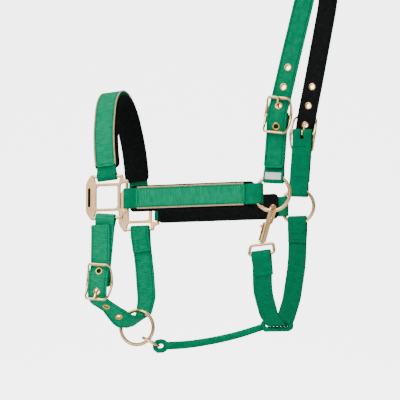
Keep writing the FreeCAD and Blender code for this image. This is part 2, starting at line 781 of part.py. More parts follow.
keep(feature_of("chin_eyelets", Part.makeCompound(rings)))

# ---------------------------------------------------------------- snap hook

SNAP_TILT = 16
snap_spot = V(-55.5, -D["side_y"], D["cheek_z"] - D["ring_middle"] / 2 + 0.4)
snap_turn = turn(Y_AXIS, SNAP_TILT)
AXIS_OUT = -8.5
BARREL_TOP = -17
BARREL_END = -40
BOLT_TIP = -2.6
BOLT_END = -27
bolt_room = 0.1
hook_corners = [(0, AXIS_OUT, -2.2), (0, AXIS_OUT, 5.2), (0, -AXIS_OUT, 5.2),
                (0, -AXIS_OUT, -12), (0, -6.5, -21)]
hook = tube(rounded(hook_corners, [0, 8.4, 8.4, 6, 0]), D["hook_wire"])
axis_spot = V(0, AXIS_OUT, 0)
barrel = Part.makeCylinder(D["barrel_wide"] / 2, BARREL_TOP - BARREL_END,
                           axis_spot + Z_AXIS * BARREL_END)
snap = hook.fuse(barrel)
bore_end = BARREL_END + 2.5
snap = snap.cut(Part.makeCylinder(D["bolt_wide"] / 2 + bolt_room, BARREL_TOP - bore_end + 1,
                                  axis_spot + Z_AXIS * bore_end))
snap = snap.cut(Part.makeCylinder(1.8, 6, axis_spot + Z_AXIS * (BARREL_END - 1)))
STUD_AT = -22.5
STUD_TURN = -35
slot_long = D["bolt_travel"] + 4
slot = Part.makeBox(3.8, D["barrel_wide"], slot_long,
                    V(-1.9, -D["barrel_wide"], STUD_AT + 2 - slot_long))
slot.rotate(V(0, 0, 0), Z_AXIS, STUD_TURN)
slot.translate(axis_spot)
snap = snap.cut(slot)
body = keep(feature_of("snap_body", snap.removeSplitter()))
place(body, snap_spot, snap_turn)

bolt = Part.makeCylinder(D["bolt_wide"] / 2, BOLT_TIP - BOLT_END, axis_spot + Z_AXIS * BOLT_END)
stud_way = turn(Z_AXIS, STUD_TURN).multVec(V(0, -1, 0))
stud = Part.makeCylinder(1.6, D["barrel_wide"] / 2 + 1.6, axis_spot + Z_AXIS * STUD_AT, stud_way)
stud = stud.fuse(Part.makeSphere(2.1, axis_spot + Z_AXIS * STUD_AT
                                 + stud_way * (D["barrel_wide"] / 2 + 2)))
bolt = bolt.fuse(stud)
bolt = keep(feature_of("snap_bolt", bolt.removeSplitter()))
place(bolt, snap_spot, snap_turn)

COLLAR = 1.7
shank = Part.makeCylinder(1.6, 6, axis_spot + Z_AXIS * (bore_end + 0.2 - 5.2))
head = Part.makeCylinder(2.1, 0.9, axis_spot + Z_AXIS * (bore_end + 0.2))
collar = Part.makeCylinder(3.4, COLLAR, axis_spot + Z_AXIS * (BARREL_END - 0.2 - COLLAR))
swivel = shank.fuse(head).fuse(collar)
swivel.Placement = FreeCAD.Placement(snap_spot, snap_turn)
eye_y = -D["side_y"] + AXIS_OUT
eye_corners_world = [(-80.5, eye_y, -373.6), (-52.5, eye_y, -371.2), (-51, eye_y, -382.6),
                     (-83.5, eye_y, -385.8)]
start = (V(*eye_corners_world[2]) + V(*eye_corners_world[3])) / 2
eye_route = rounded([tuple(start)] + [eye_corners_world[i] for i in (3, 0, 1, 2)] + [tuple(start)],
                    [0, 3, 3, 3, 3, 0])
swivel = swivel.fuse(tube(eye_route, D["eye_wire"]))
keep(feature_of("snap_swivel_eye", swivel.removeSplitter()))
strap_bar = (V(*eye_corners_world[2]) + V(*eye_corners_world[3])) / 2

# ---------------------------------------------------------------- throat strap

throat_half = D["throat_thick"] / 2
ring_fold = 2.8 + throat_half
ring_fold_z = D["cheek_z"] - strap_reach + throat_half - 0.65
eye_fold = 2.4 + throat_half
BAR_SLOPE = 0.098
bar_up = unit(V(-BAR_SLOPE, 0, 1))


def by_bar(up, out):
    """A point over the middle of the swivel bar, square to it."""
    spot = strap_bar - X_AXIS * 0.2 + bar_up * up
    return (spot.x, eye_y + out, spot.z)


throat_points = [
    (-55.5, off_y - 1.45, -356, 0),
    (-55.2, off_y - 1.45, -350, 16),
    (-55, off_y - ring_fold, -338, 16),
    (-55, off_y - ring_fold, ring_fold_z, ring_fold * 0.99),
    (-55, off_y + ring_fold, ring_fold_z, ring_fold * 0.99),
    (-55, off_y + ring_fold, -338, 16),
    (-55.2, off_y + 1.45, -352, 30),
    (-56, off_y - 1, -384, 80),
    (-58.5, 45, -430, 40),
    (-61, 18, -460, 18),
    (-64.5, -8, -467.5, 25),
    (-67.5, -36, -456, 28),
    (-69, -62, -428, 60),
    (*by_bar(-14, -0.95), 16),
    (*by_bar(-5, -eye_fold), 10),
    (*by_bar(eye_fold, -eye_fold), eye_fold * 0.99),
    (*by_bar(eye_fold, eye_fold), eye_fold * 0.99),
    (*by_bar(-5, eye_fold), 10),
    (*by_bar(-14, 1.9), 16),
    (*by_bar(-26, 1.9), 0),
]
throat_route = rounded([p[:3] for p in throat_points], [p[3] for p in throat_points])
bar_across = V(bar_up.z, 0, -bar_up.x)
throat_table = [(0, X_AXIS), (0.7, X_AXIS), (0.86, bar_across), (1, bar_across)]
throat_frames = stations(throat_route, throat_table, 300)
keep(feature_of("throat_strap", ribbon(throat_frames, D["throat_wide"], -throat_half, throat_half)))

# ---------------------------------------------------------------- chin link and throat rope

link_left = V(-240.6, 0, -477.7)
link_right = V(-220.4, 0, -488.3)
link_along = unit(link_right - link_left)
link_half = D["link_wide"] / 2
corners = []
for point, way in ((link_left, 1), (link_left, -1), (link_right, -1), (link_right, 1)):
    corners.append(tuple(point + V(0, way * link_half, 0)))
middle = (V(*corners[0]) + V(*corners[3])) / 2
link_route = rounded([tuple(middle)] + corners + [tuple(middle)],
                     [0] + [link_half * 0.99] * 4 + [0])
keep(feature_of("chin_link", tube(link_route, D["link_wire"])))


def tapered_tube(pieces, first, last, count=14):
    """A round rope whose diameter goes evenly from first to last along its route."""
    sections = []
    for i, (point, tangent) in enumerate(samples(pieces, count)):
        wide = first + (last - first) * i / (count - 1)
        sections.append(Part.Wire(Part.makeCircle(wide / 2, point, tangent)))
    return Part.makeLoft(sections, True, False)


def rope_eye(left, right, open_half):
    """A stadium of rope strand in the XZ plane round whatever passes between its strands."""
    off = open_half + D["strand"] / 2
    along = unit(right - left)
    up = V(-along.z, 0, along.x)
    corners = [left - along * off - up * off, right + along * off - up * off,
               right + along * off + up * off, left - along * off + up * off]
    middle = (corners[0] + corners[3]) / 2
    route = [tuple(middle)] + [tuple(c) for c in corners] + [tuple(middle)]
    closed = rounded(route, [0] + [off * 0.98] * 4 + [0])
    return tube(closed, D["strand"])


front_eye = rope_eye(V(-219.3, 0, -488.8), V(-216.5, 0, -488.6), 3)
strap_low = V(-64.5, -8, -466.1)
rear_eye = rope_eye(strap_low - V(13.2, 0, 0), strap_low + V(13.2, 0, 0), 2.1)
rope_points = [(-212.5, 0, -488.4), (-190, 0, -488.3), (-162, -0.4, -485.2),
               (-133, -1.4, -480.4), (-106, -3.9, -474.3), (-84.5, -7.4, -468.2)]


def bend_radii(points):
    """0.45 of the shorter run at each corner, as the radius that leaves that much of it."""
    spots = [V(*p) for p in points]
    radii = [0]
    for before, corner, after in zip(spots, spots[1:], spots[2:]):
        shorter = min((corner - before).Length, (after - corner).Length)
        half_turn = (corner - before).getAngle(after - corner) / 2
        radii.append(0.45 * shorter / math.tan(half_turn))
    return radii + [0]


rope_radii = bend_radii(rope_points)
print("rope bend radii:", [round(r) for r in rope_radii])
rope_route = rounded(rope_points, rope_radii)
rope = tapered_tube(rope_route, D["rope_wide"] + 0.8, D["rope_wide"] - 1.2)
rope = rope.fuse(front_eye).fuse(rear_eye)
keep(feature_of("throat_rope", rope.removeSplitter()))

# ---------------------------------------------------------------- build and export
doc.recompute()
problems = []
for thing in NODES:
    if "Invalid" in thing.State or "Error" in thing.State or thing.Shape.isNull():
        problems.append(thing.Label)
    elif not thing.Shape.isValid():
        problems.append(thing.Label + " shape")
print("problems:", problems)
for thing in NODES:
    thing.Shape.exportStep(f"parts/{thing.Label}.step")
    box = thing.Shape.BoundBox
    print(f"{thing.Label:28s} solids {len(thing.Shape.Solids)} volume {thing.Shape.Volume:10.1f}",
          f"x {box.XMin:.1f}..{box.XMax:.1f} y {box.YMin:.1f}..{box.YMax:.1f}",
          f"z {box.ZMin:.1f}..{box.ZMax:.1f}")
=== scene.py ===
import math

import bmesh
import bpy
import numpy as np
from mathutils import Matrix, Vector


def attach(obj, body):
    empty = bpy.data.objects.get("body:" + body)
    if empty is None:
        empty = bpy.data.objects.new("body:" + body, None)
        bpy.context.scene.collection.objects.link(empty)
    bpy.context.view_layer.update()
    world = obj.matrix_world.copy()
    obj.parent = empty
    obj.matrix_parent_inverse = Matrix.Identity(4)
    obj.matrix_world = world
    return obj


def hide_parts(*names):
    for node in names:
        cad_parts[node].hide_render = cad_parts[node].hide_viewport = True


# Head halter. All lengths here are millimetres until a mesh is made, which is in metres.
# Near side is -Y, the nose is at -X, Z is up, and the origin is the inside of the poll.

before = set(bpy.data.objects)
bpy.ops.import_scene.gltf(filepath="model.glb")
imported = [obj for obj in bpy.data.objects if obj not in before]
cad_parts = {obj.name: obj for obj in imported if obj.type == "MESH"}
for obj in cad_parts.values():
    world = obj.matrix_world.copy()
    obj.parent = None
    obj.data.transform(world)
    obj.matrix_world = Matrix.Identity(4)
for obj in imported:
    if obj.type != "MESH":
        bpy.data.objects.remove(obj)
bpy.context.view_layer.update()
MM = 0.001
rng = np.random.default_rng(7)


def placed(name, data):
    """A new object in the scene."""
    made = bpy.data.objects.new(name, data)
    bpy.context.scene.collection.objects.link(made)
    return made


# ---------------------------------------------------------------- camera

TARGET = Vector((-0.166, 0, -0.305))
AZIMUTH = math.radians(16.1)
ELEVATION = math.radians(-7.5)
DISTANCE = 2.6
view_from = Vector((math.sin(AZIMUTH) * math.cos(ELEVATION),
                    -math.cos(AZIMUTH) * math.cos(ELEVATION), math.sin(ELEVATION)))
camera_data = bpy.data.cameras.new("camera")
camera_data.lens = 185
camera_data.sensor_width = 36
camera = placed("camera", camera_data)
camera.location = TARGET + view_from * DISTANCE
camera.rotation_euler = (-view_from).to_track_quat("-Z", "Y").to_euler()
bpy.context.scene.camera = camera


# ---------------------------------------------------------------- materials

def wire(tree, kind, values=(), **settings):
    """A new node; values are (input, number or colour or output socket) pairs."""
    made = tree.nodes.new(kind)
    for key, value in settings.items():
        setattr(made, key, value)
    for key, value in values:
        if isinstance(value, bpy.types.NodeSocket):
            tree.links.new(value, made.inputs[key])
        else:
            made.inputs[key].default_value = value
    return made


def calc(tree, operation, first, second=0.0):
    return wire(tree, "ShaderNodeMath", [(0, first), (1, second)], operation=operation).outputs[0]


def total(tree, *terms):
    """The sum of (value, share) pairs."""
    parts = [calc(tree, "MULTIPLY", value, share) for value, share in terms]
    made = parts[0]
    for part in parts[1:]:
        made = calc(tree, "ADD", made, part)
    return made


def paint(tree, shader, share, dark, light):
    """A base colour that goes from dark to light with share."""
    made = wire(tree, "ShaderNodeMix", [("Factor", share), (6, (*dark, 1)), (7, (*light, 1))],
                data_type="RGBA")
    tree.links.new(made.outputs[2], shader.inputs["Base Color"])


CLOTH_GLOSS = 0.04
RIB_PITCH = 3.1


def srgb(code):
    """A linear colour from a hex code."""
    parts = [int(code[i:i + 2], 16) / 255 for i in (0, 2, 4)]
    return tuple(c / 12.92 if c <= 0.04045 else ((c + 0.055) / 1.055) ** 2.4 for c in parts)


def base_material(name, roughness, **sockets):
    made = bpy.data.materials.new(name)
    made.use_nodes = True
    tree = made.node_tree
    shader = tree.nodes["Principled BSDF"]
    shader.inputs["Roughness"].default_value = roughness
    for key, value in sockets.items():
        shader.inputs[key.replace("_", " ")].default_value = value
    return made, tree, shader


def noise(tree, scale, detail=3.0, rough=0.55):
    place = wire(tree, "ShaderNodeTexCoord").outputs["Object"]
    return wire(tree, "ShaderNodeTexNoise",
                [("Vector", place), ("Scale", scale), ("Detail", detail),
                 ("Roughness", rough)]).outputs["Fac"]


def spread(tree, value, low, high):
    return wire(tree, "ShaderNodeMapRange", [("Value", value), ("From Min", low),
                                             ("From Max", high)]).outputs[0]


def add_bump(tree, shader, height, distance, strength=1.0):
    made = wire(tree, "ShaderNodeBump", [("Height", height), ("Distance", distance),
                                         ("Strength", strength)])
    tree.links.new(made.outputs[0], shader.inputs["Normal"])


def strap_uv(tree):
    """Millimetres along and across the strap, from the mesh's UV map."""
    uv = wire(tree, "ShaderNodeUVMap", uv_map="UVMap").outputs[0]
    return wire(tree, "ShaderNodeSeparateXYZ", [(0, uv)]).outputs


def waves_of(tree, value, pitch):
    return calc(tree, "SINE", calc(tree, "MULTIPLY", value, 2 * math.pi / pitch))


def woven(name, light, dark, pitch_along, pitch_across, patchy=0.5, streaks=0.0):
    """Woven cloth: threads from the strap's own length and width, and slow colour changes."""
    made, tree, shader = base_material(name, 0.82, Specular_IOR_Level=CLOTH_GLOSS)
    split = strap_uv(tree)
    cross = calc(tree, "MULTIPLY", waves_of(tree, split[0], pitch_along),
                 waves_of(tree, split[1], pitch_across))
    height = total(tree, (cross, 0.35), (noise(tree, 2600, 2), 0.7))
    patches = spread(tree, noise(tree, 140, 4, 0.6), 0.3, 0.7)
    if streaks:
        # thick and thin weft picks, much longer across the strap than along it
        stretched = wire(tree, "ShaderNodeCombineXYZ",
                         [(0, calc(tree, "MULTIPLY", split[0], 0.62)),
                          (1, calc(tree, "MULTIPLY", split[1], 0.085))]).outputs[0]
        picks = wire(tree, "ShaderNodeTexNoise", [("Vector", stretched), ("Scale", 1.0),
                                                  ("Detail", 2.5), ("Roughness", 0.6)])
        pick = total(tree, (spread(tree, picks.outputs["Fac"], 0.35, 0.65), 1),
                     (waves_of(tree, split[0], RIB_PITCH), 0.3))
        # the pick height, rib wave included, goes into the colour too, so low picks and rib hollows
        # are darker: real thick and thin weft picks plus painted shade
        patches = total(tree, (patches, 1 - streaks), (pick, streaks))
        height = total(tree, (height, 1), (pick, 1.4))
    add_bump(tree, shader, height, 0.00012)
    yarn = spread(tree, noise(tree, 900, 2, 0.5), 0.25, 0.75)
    # the colour mixes real patch and yarn tones with the thread pattern's height, which darkens the
    # low parts of the weave: painted shade
    share = total(tree, (patches, patchy), (yarn, 0.3), (spread(tree, cross, -1, 1), 0.2))
    paint(tree, shader, share, dark, light)
    return made


def napped(name, light, dark, grain, relief, roughness=0.9):
    """Felt or nubuck: short nap, soft mottling and fine fibres."""
    made, tree, shader = base_material(name, roughness, Specular_IOR_Level=CLOTH_GLOSS)
    soft = spread(tree, noise(tree, grain, 5, 0.62), 0.3, 0.7)
    fine = noise(tree, 3200, 3, 0.7)
    paint(tree, shader, total(tree, (soft, 0.7), (fine, 0.3)), dark, light)
    add_bump(tree, shader, total(tree, (soft, 0.4), (fine, 1)), relief)
    return made


def metal(name, light, dark, roughness=0.13):
    """Cast and plated metal: a slow swell, faint orange-peel, small scuffs, dulled patches."""
    made, tree, shader = base_material(name, roughness, Metallic=1.0,
                                       Specular_Tint=(0.9, 0.68, 0.48, 1))
    cloud = spread(tree, noise(tree, 60, 4, 0.6), 0.35, 0.65)
    paint(tree, shader, cloud, dark, light)
    scuff = spread(tree, noise(tree, 420, 5, 0.7), 0.45, 0.72)
    rough = calc(tree, "ADD", calc(tree, "MULTIPLY", scuff, 0.12), roughness)
    tree.links.new(rough, shader.inputs["Roughness"])
    swell = calc(tree, "MULTIPLY", noise(tree, 90, 2, 0.5), 24)
    add_bump(tree, shader, calc(tree, "ADD", swell, noise(tree, 300, 3, 0.5)), 0.00003, 0.5)
    return made


def twisted_thread(name, light, dark, strands, lay):
    """Metallic gimp cord: fine windings across each strand."""
    made, tree, shader = base_material(name, 0.42, Metallic=0.35, Sheen_Weight=0.1)
    split = strap_uv(tree)
    lobe = waves_of(tree, split[1], 1 / strands)
    share = total(tree, (spread(tree, lobe, -1, 1), 0.55),
                  (spread(tree, noise(tree, 500, 3), 0.3, 0.7), 0.45))
    paint(tree, shader, share, dark, light)
    add_bump(tree, shader, waves_of(tree, split[0], lay), 0.00006)
    return made


mat_overlay = woven("overlay_webbing", (0.0, 0.38, 0.175), (0.0, 0.13, 0.054), 0.9, 0.8,
                    streaks=0.62)
mat_webbing = woven("base_webbing", (0.0, 0.26, 0.115), (0.0, 0.10, 0.042), 0.9, 0.7,
                    patchy=0.4, streaks=0.3)
# the throat strap is the same webbing as base_webbing in darker colours: painted shade for a strap
# that faces away from the light
mat_throat_painted_shade = woven("throat_webbing_painted_shade", (0.0, 0.25, 0.11), (0.0, 0.095, 0.04), 0.9, 0.7,
                   patchy=0.4, streaks=0.35)
mat_rope = woven("braided_cord", (0.0, 0.28, 0.125), (0.0, 0.11, 0.046), 0.7, 0.35)
mat_thread = woven("green_thread", (0.0, 0.035, 0.014), (0.0, 0.018, 0.007), 0.5, 0.3,
                   patchy=0.3)
mat_black_thread = woven("black_thread", srgb("1B1E1D"), srgb("0A0C0B"), 0.5, 0.3, patchy=0.3)
mat_nubuck = napped("green_nubuck", (0.0, 0.23, 0.105), (0.0, 0.14, 0.058), 160, 0.00007)
mat_felt = napped("black_felt", srgb("191C1B"), srgb("090B0A"), 240, 0.00025, 0.95)
mat_lining = napped("black_lining", srgb("1A1D1C"), srgb("0B0D0D"), 180, 0.00010, 0.8)
mat_metal = metal("champagne_metal", (0.92, 0.61, 0.31), (0.78, 0.47, 0.21))
mat_brass = metal("eyelet_brass", (0.84, 0.48, 0.13), (0.70, 0.35, 0.08), 0.2)
mat_piping = twisted_thread("metallic_piping", (0.92, 0.68, 0.40), (0.34, 0.17, 0.06), 3, 0.45)
mat_inlay = napped("black_enamel", srgb("171514"), srgb("0B0A0A"), 400, 0.00003, 0.3)
mat_label = woven("white_label", srgb("F4F4F0"), srgb("DADAD4"), 0.5, 0.5)


# ---------------------------------------------------------------- lines and straps

def unit(vector):
    vector = np.asarray(vector, float)
    return vector / np.linalg.norm(vector)


def even(line, step):
    """The same line with evenly spaced points."""
    line = np.asarray(line, float)
    gone = lengths_of(line)
    marks = np.linspace(0, gone[-1], max(2, int(round(gone[-1] / step)) + 1))
    return np.stack([np.interp(marks, gone, line[:, k]) for k in range(3)], axis=1)


def fillet(before, corner, after, radius, step):
    """Points round one corner."""
    back = unit(before - corner)
    ahead = unit(after - corner)
    half = math.acos(max(-1.0, min(1.0, float(back @ ahead)))) / 2
    if not radius or half > math.pi / 2 - 1e-3:
        return [corner]
    reach = radius / math.tan(half)
    centre = corner + unit(back + ahead) * radius / math.sin(half)
    first = corner + back * reach - centre
    last = corner + ahead * reach - centre
    swing = math.pi - 2 * half
    count = max(4, int(radius * swing / step))
    return [centre + (first * math.sin((1 - t) * swing) + last * math.sin(t * swing))
            / math.sin(swing) for t in np.linspace(0, 1, count + 1)]


def rounded(corners, step=0.4, closed=False):
    """A line through corners (x, y, z, radius), for straps and metal parts."""
    points = [np.array(c[:3], float) for c in corners]
    count = len(points)
    line = []
    for i, corner in enumerate(corners):
        if not closed and i in (0, count - 1):
            line.append(points[i])
        else:
            line += fillet(points[i - 1], points[i], points[(i + 1) % count], corner[3], step)
    if closed:
        line.append(line[0])
    return np.array(line)


def smooth(line, reach):
    """Takes the hardness out of the changes between straight and bent."""
    if reach < 1:
        return line
    kernel = np.hanning(2 * reach + 3)[1:-1]
    kernel /= kernel.sum()
    padded = np.concatenate([np.repeat(line[:1], reach, 0), line, np.repeat(line[-1:], reach, 0)])
    soft = np.stack([np.convolve(padded[:, k], kernel, "valid") for k in range(3)], axis=1)
    soft[0], soft[-1] = line[0], line[-1]
    return soft


def lengths_of(line):
    return np.concatenate([[0], np.cumsum(np.linalg.norm(np.diff(line, axis=0), axis=1))])


class Strap:
    """A line with an outward and a width direction at every point."""

    def __init__(self, line, across, step=0.4, soften=0):
        """across is (share, direction) pairs, or one direction."""
        line = smooth(even(line, step), soften)
        tangent = np.gradient(line, axis=0)
        tangent /= np.linalg.norm(tangent, axis=1)[:, None]
        share = np.linspace(0, 1, len(line))
        if not isinstance(across, list):
            across = [(0, across), (1, across)]
        marks = np.array([m for m, _ in across])
        ways = np.array([w for _, w in across], float)
        low = np.clip(np.searchsorted(marks, share, side="right") - 1, 0, len(marks) - 2)
        part = np.clip((share - marks[low]) / (marks[low + 1] - marks[low]), 0, 1)
        part = (part * part * (3 - 2 * part))[:, None]
        rough = ways[low] * (1 - part) + ways[low + 1] * part
        rough -= tangent * (rough * tangent).sum(1)[:, None]
        self.across = rough / np.linalg.norm(rough, axis=1)[:, None]
        self.outward = np.cross(self.across, tangent)
        self.line = line
        self.gone = lengths_of(line)
        self.length = self.gone[-1]

    def at(self, s):
        """Point, outward and across at lengths s, which may run past either end."""
        s = np.atleast_1d(np.asarray(s, float))
        inside = np.clip(s, 0, self.length)
        found = []
        for table in (self.line, self.outward, self.across):
            found.append(np.stack([np.interp(inside, self.gone, table[:, k])
                                   for k in range(3)], axis=1))
        point, outward, across = found
        outward /= np.linalg.norm(outward, axis=1)[:, None]
        across /= np.linalg.norm(across, axis=1)[:, None]
        tangent = np.cross(outward, across)
        return point + tangent * (s - inside)[:, None], outward, across

    def spots(self, s, v, n):
        point, outward, across = self.at(s)
        v = np.broadcast_to(np.asarray(v, float), point.shape[:1])[:, None]
        n = np.broadcast_to(np.asarray(n, float), point.shape[:1])[:, None]
        return point + across * v + outward * n


# ---------------------------------------------------------------- meshes

def mesh_object(name, points, faces, material, uv=None, smooth_shade=True):
    """points in millimetres; uv is one pair for each point."""
    mesh = bpy.data.meshes.new(name)
    mesh.from_pydata((np.asarray(points) * MM).tolist(), [], [list(map(int, f)) for f in faces])
    if uv is not None:
        layer = mesh.uv_layers.new(name="UVMap")
        index = np.zeros(len(mesh.loops), int)
        mesh.loops.foreach_get("vertex_index", index)
        layer.data.foreach_set("uv", np.asarray(uv, float)[index].ravel())
    mesh.polygons.foreach_set("use_smooth", [smooth_shade] * len(mesh.polygons))
    mesh.materials.append(material)
    mesh.update()
    made = placed(name, mesh)
    return made


def grid_faces(rows, columns, wrap_rows=False):
    """Quads of a tube: rows stations of a loop with that many columns."""
    faces = []
    last = rows if wrap_rows else rows - 1
    for i in range(last):
        a = i * columns
        b = ((i + 1) % rows) * columns
        for j in range(columns):
            k = (j + 1) % columns
            faces.append((a + j, a + k, b + k, b + j))
    return faces


def caps(rows, columns):
    """The two end faces of a tube."""
    return [tuple(range(columns))[::-1], tuple(range((rows - 1) * columns, rows * columns))]


def evaluated_mesh(holder):
    """A new mesh of what an object shows, with its modifiers or curve settings."""
    bpy.context.view_layer.update()
    graph = bpy.context.evaluated_depsgraph_get()
    return bpy.data.meshes.new_from_object(holder.evaluated_get(graph))


def points_of(mesh):
    """A mesh's points in millimetres."""
    points = np.zeros(len(mesh.vertices) * 3)
    mesh.vertices.foreach_get("co", points)
    return points.reshape(-1, 3) / MM


def set_points(mesh, points):
    mesh.vertices.foreach_set("co", (points * MM).ravel())
    mesh.update()


def finish_mesh(made, body, nodes=()):
    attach(made, body)
    if nodes:
        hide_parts(*nodes)
    return made


def baked(made):
    """Applies the object's modifiers."""
    mesh = evaluated_mesh(made)
    made.modifiers.clear()
    old = made.data
    made.data = mesh
    bpy.data.meshes.remove(old)
    mesh.name = made.name
    return made


def cut(made, cutters):
    """Takes the cutters out of a mesh and removes them."""
    for cutter in cutters:
        change = made.modifiers.new("cut", "BOOLEAN")
        change.operation = "DIFFERENCE"
        change.solver = "EXACT"
        change.object = cutter
    baked(made)
    for cutter in cutters:
        bpy.data.objects.remove(cutter)
    return made


def tidy_normals(made, merge=0):
    """Turns every face outward; points closer than merge become one first."""
    mesh = made.data
    work = bmesh.new()
    work.from_mesh(mesh)
    if merge:
        bmesh.ops.remove_doubles(work, verts=work.verts, dist=merge * MM)
    bmesh.ops.recalc_face_normals(work, faces=work.faces)
    work.to_mesh(mesh)
    work.free()
    return made


EDGE_TURNS = (90, 66, 42, 18)


def strap_mesh(name, strap, s0, s1, width, low, high, material, corners=(0, 0), rib=0.0,
               pitch=1.1, dips=(), dip=0.0, edge=0.7, step=0.3, inner=11, waves=0.0):
    """A strap from s0 to s1, with rounded edges and ends, cross ribs and pulled-in stitch lines."""
    thick = high - low
    edge = min(edge, width / 4)
    ends = np.array([0, 0.02, 0.08, 0.2, 0.4, 0.7, 1.0])
    marks = [np.arange(s0, s1, step), s0 + ends * edge, s1 - ends * edge, [s1]]
    for radius, origin, way in ((corners[0], s0, 1), (corners[1], s1, -1)):
        if radius:
            marks.append(origin + way * radius * (1 - np.cos(np.linspace(0, math.pi / 2, 9))))
    s = np.unique(np.round(np.concatenate(marks), 4))
    point, outward, across = strap.at(s)
    ahead = s - s0
    behind = s1 - s
    half = np.full(len(s), width / 2)
    for radius, gap in ((corners[0], ahead), (corners[1], behind)):
        if radius:
            inside = np.clip(radius - gap, 0, radius)
            half -= radius - np.sqrt(np.maximum(radius ** 2 - inside ** 2, 0))
    near = np.clip(np.minimum(ahead, behind) / edge, 0, 1)
    full = np.maximum(np.sqrt(1 - (1 - near) ** 2), 0.12)
    fractions = np.linspace(1, -1, inner)
    if dips:
        extra = [sign * d * 2 / (width - 2 * edge) for d in dips for sign in (-1, 1)]
        wider = [e + w for e in extra for w in (-0.055, -0.025, 0, 0.025, 0.055)]
        fractions = np.array(sorted(set(np.round(list(fractions) + wider, 4)), reverse=True))
        fractions = fractions[np.abs(fractions) <= 1]
    columns = []
    for turn in EDGE_TURNS:
        columns.append((1, 1.0, math.radians(turn), 1))
    columns += [(0, q, 0.0, 1) for q in fractions]
    for turn in reversed(EDGE_TURNS):
        columns.append((-1, -1.0, math.radians(turn), 1))
    for turn in EDGE_TURNS[1:]:
        columns.append((-1, -1.0, math.radians(turn), -1))
    columns += [(0, q, 0.0, -1) for q in fractions[::-1]]
    for turn in reversed(EDGE_TURNS[1:]):
        columns.append((1, 1.0, math.radians(turn), -1))
    side, inner_at, turns, face = np.array(columns, float).T
    v = inner_at[None, :] * (half - edge)[:, None] + (side * edge * np.sin(turns))[None, :]
    height = (thick / 2) * np.cos(turns)[None, :] * full[:, None]
    if rib:
        crest = np.abs(np.sin(math.pi * s / pitch)) ** 0.8 - 0.6
        flat = np.clip((width / 2 - np.abs(v)) / 1.2, 0.25, 1)
        height = height + rib * crest[:, None] * flat * np.cos(turns)[None, :] * full[:, None]
    for d in dips:
        fall = np.exp(-((np.abs(v) - d) / 0.55) ** 2)
        gap = np.clip(np.minimum(ahead, behind)[:, None] / 3, 0, 1)
        height = height - dip * fall * gap * np.cos(turns)[None, :]
    n = (low + high) / 2 + face[None, :] * height
    if waves:
        phase = rng.uniform(0, 6.28, 4)
        wave = (np.sin(s[:, None] / 9.1 + phase[0] + v / 7)
                + 0.6 * np.sin(s[:, None] / 4.3 + phase[1])
                + 0.5 * np.sin(s[:, None] / 17 + phase[2] - v / 5))
        n = n + waves * wave
    spots = point[:, None] + across[:, None] * v[..., None] + outward[:, None] * n[..., None]
    rows, cols = v.shape
    faces = grid_faces(rows, cols) + caps(rows, cols)
    uv = np.stack([np.repeat(s[:, None], cols, 1), v], axis=2).reshape(-1, 2)
    made = mesh_object(name, spots.reshape(-1, 3), faces, material, uv)
    return tidy_normals(made)


def tube_mesh(name, line, radius, material, sides=16, closed=False, lobes=0, lobe=0.0, twist=0.0,
              step=None):
    """A round or lobed tube along a line; twist is the length of one turn of the lobes."""
    line = np.asarray(line, float)
    if step:
        line = even(line, step)
    if closed:
        line = line[:-1] if np.allclose(line[0], line[-1]) else line
        tangent = np.roll(line, -1, 0) - np.roll(line, 1, 0)
    else:
        tangent = np.gradient(line, axis=0)
    tangent /= np.linalg.norm(tangent, axis=1)[:, None]
    rough = np.array([0, 0, 1.0]) if abs(tangent[0][2]) < 0.9 else np.array([1.0, 0, 0])
    normal = unit(rough - tangent[0] * (rough @ tangent[0]))
    normals = []
    for way in tangent:
        normal = unit(normal - way * (normal @ way))
        normals.append(normal)
    normals = np.array(normals)
    if closed:
        miss = math.atan2(float(np.cross(normals[-1], normals[0]) @ tangent[0]),
                          float(normals[-1] @ normals[0]))
        turns = np.linspace(0, miss, len(line))[:, None]
        side = np.cross(tangent, normals)
        normals = normals * np.cos(turns) + side * np.sin(turns)
    binormals = np.cross(tangent, normals)
    gone = lengths_of(line)
    angles = np.linspace(0, 2 * math.pi, sides, endpoint=False)
    radius = np.broadcast_to(np.asarray(radius, float), gone.shape)
    spin = gone * (2 * math.pi / twist) if twist else np.zeros_like(gone)
    reach = np.repeat(radius[:, None], sides, 1)
    if lobes:
        swing = np.abs(np.cos(lobes / 2 * (angles[None, :] - spin[:, None])))
        reach = radius[:, None] * (1 + lobe * swing - lobe)
    spots = (line[:, None] + normals[:, None] * (reach * np.cos(angles)[None, :])[..., None]
             + binormals[:, None] * (reach * np.sin(angles)[None, :])[..., None])
    rows = len(line)
    faces = grid_faces(rows, sides, closed)
    points = spots.reshape(-1, 3)
    shares = (angles[None, :] - spin[:, None]) / (2 * math.pi)
    uv = np.stack([np.repeat(gone[:, None], sides, 1), shares], axis=2).reshape(-1, 2)
    if not closed:
        faces += caps(rows, sides)
    return tidy_normals(mesh_object(name, points, faces, material, uv))


def joined(name, parts):
    """One object from several; the first one's materials come first."""
    work = bmesh.new()
    slots = []
    for part in parts:
        start = len(work.faces)
        work.from_mesh(part.data)
        work.faces.ensure_lookup_table()
        for material in part.data.materials:
            if material not in slots:
                slots.append(material)
        for face in work.faces[start:]:
            face.material_index = slots.index(part.data.materials[0])
    mesh = bpy.data.meshes.new(name)
    work.to_mesh(mesh)
    work.free()
    for material in slots:
        mesh.materials.append(material)
    for part in parts:
        bpy.data.objects.remove(part)
    return placed(name, mesh)


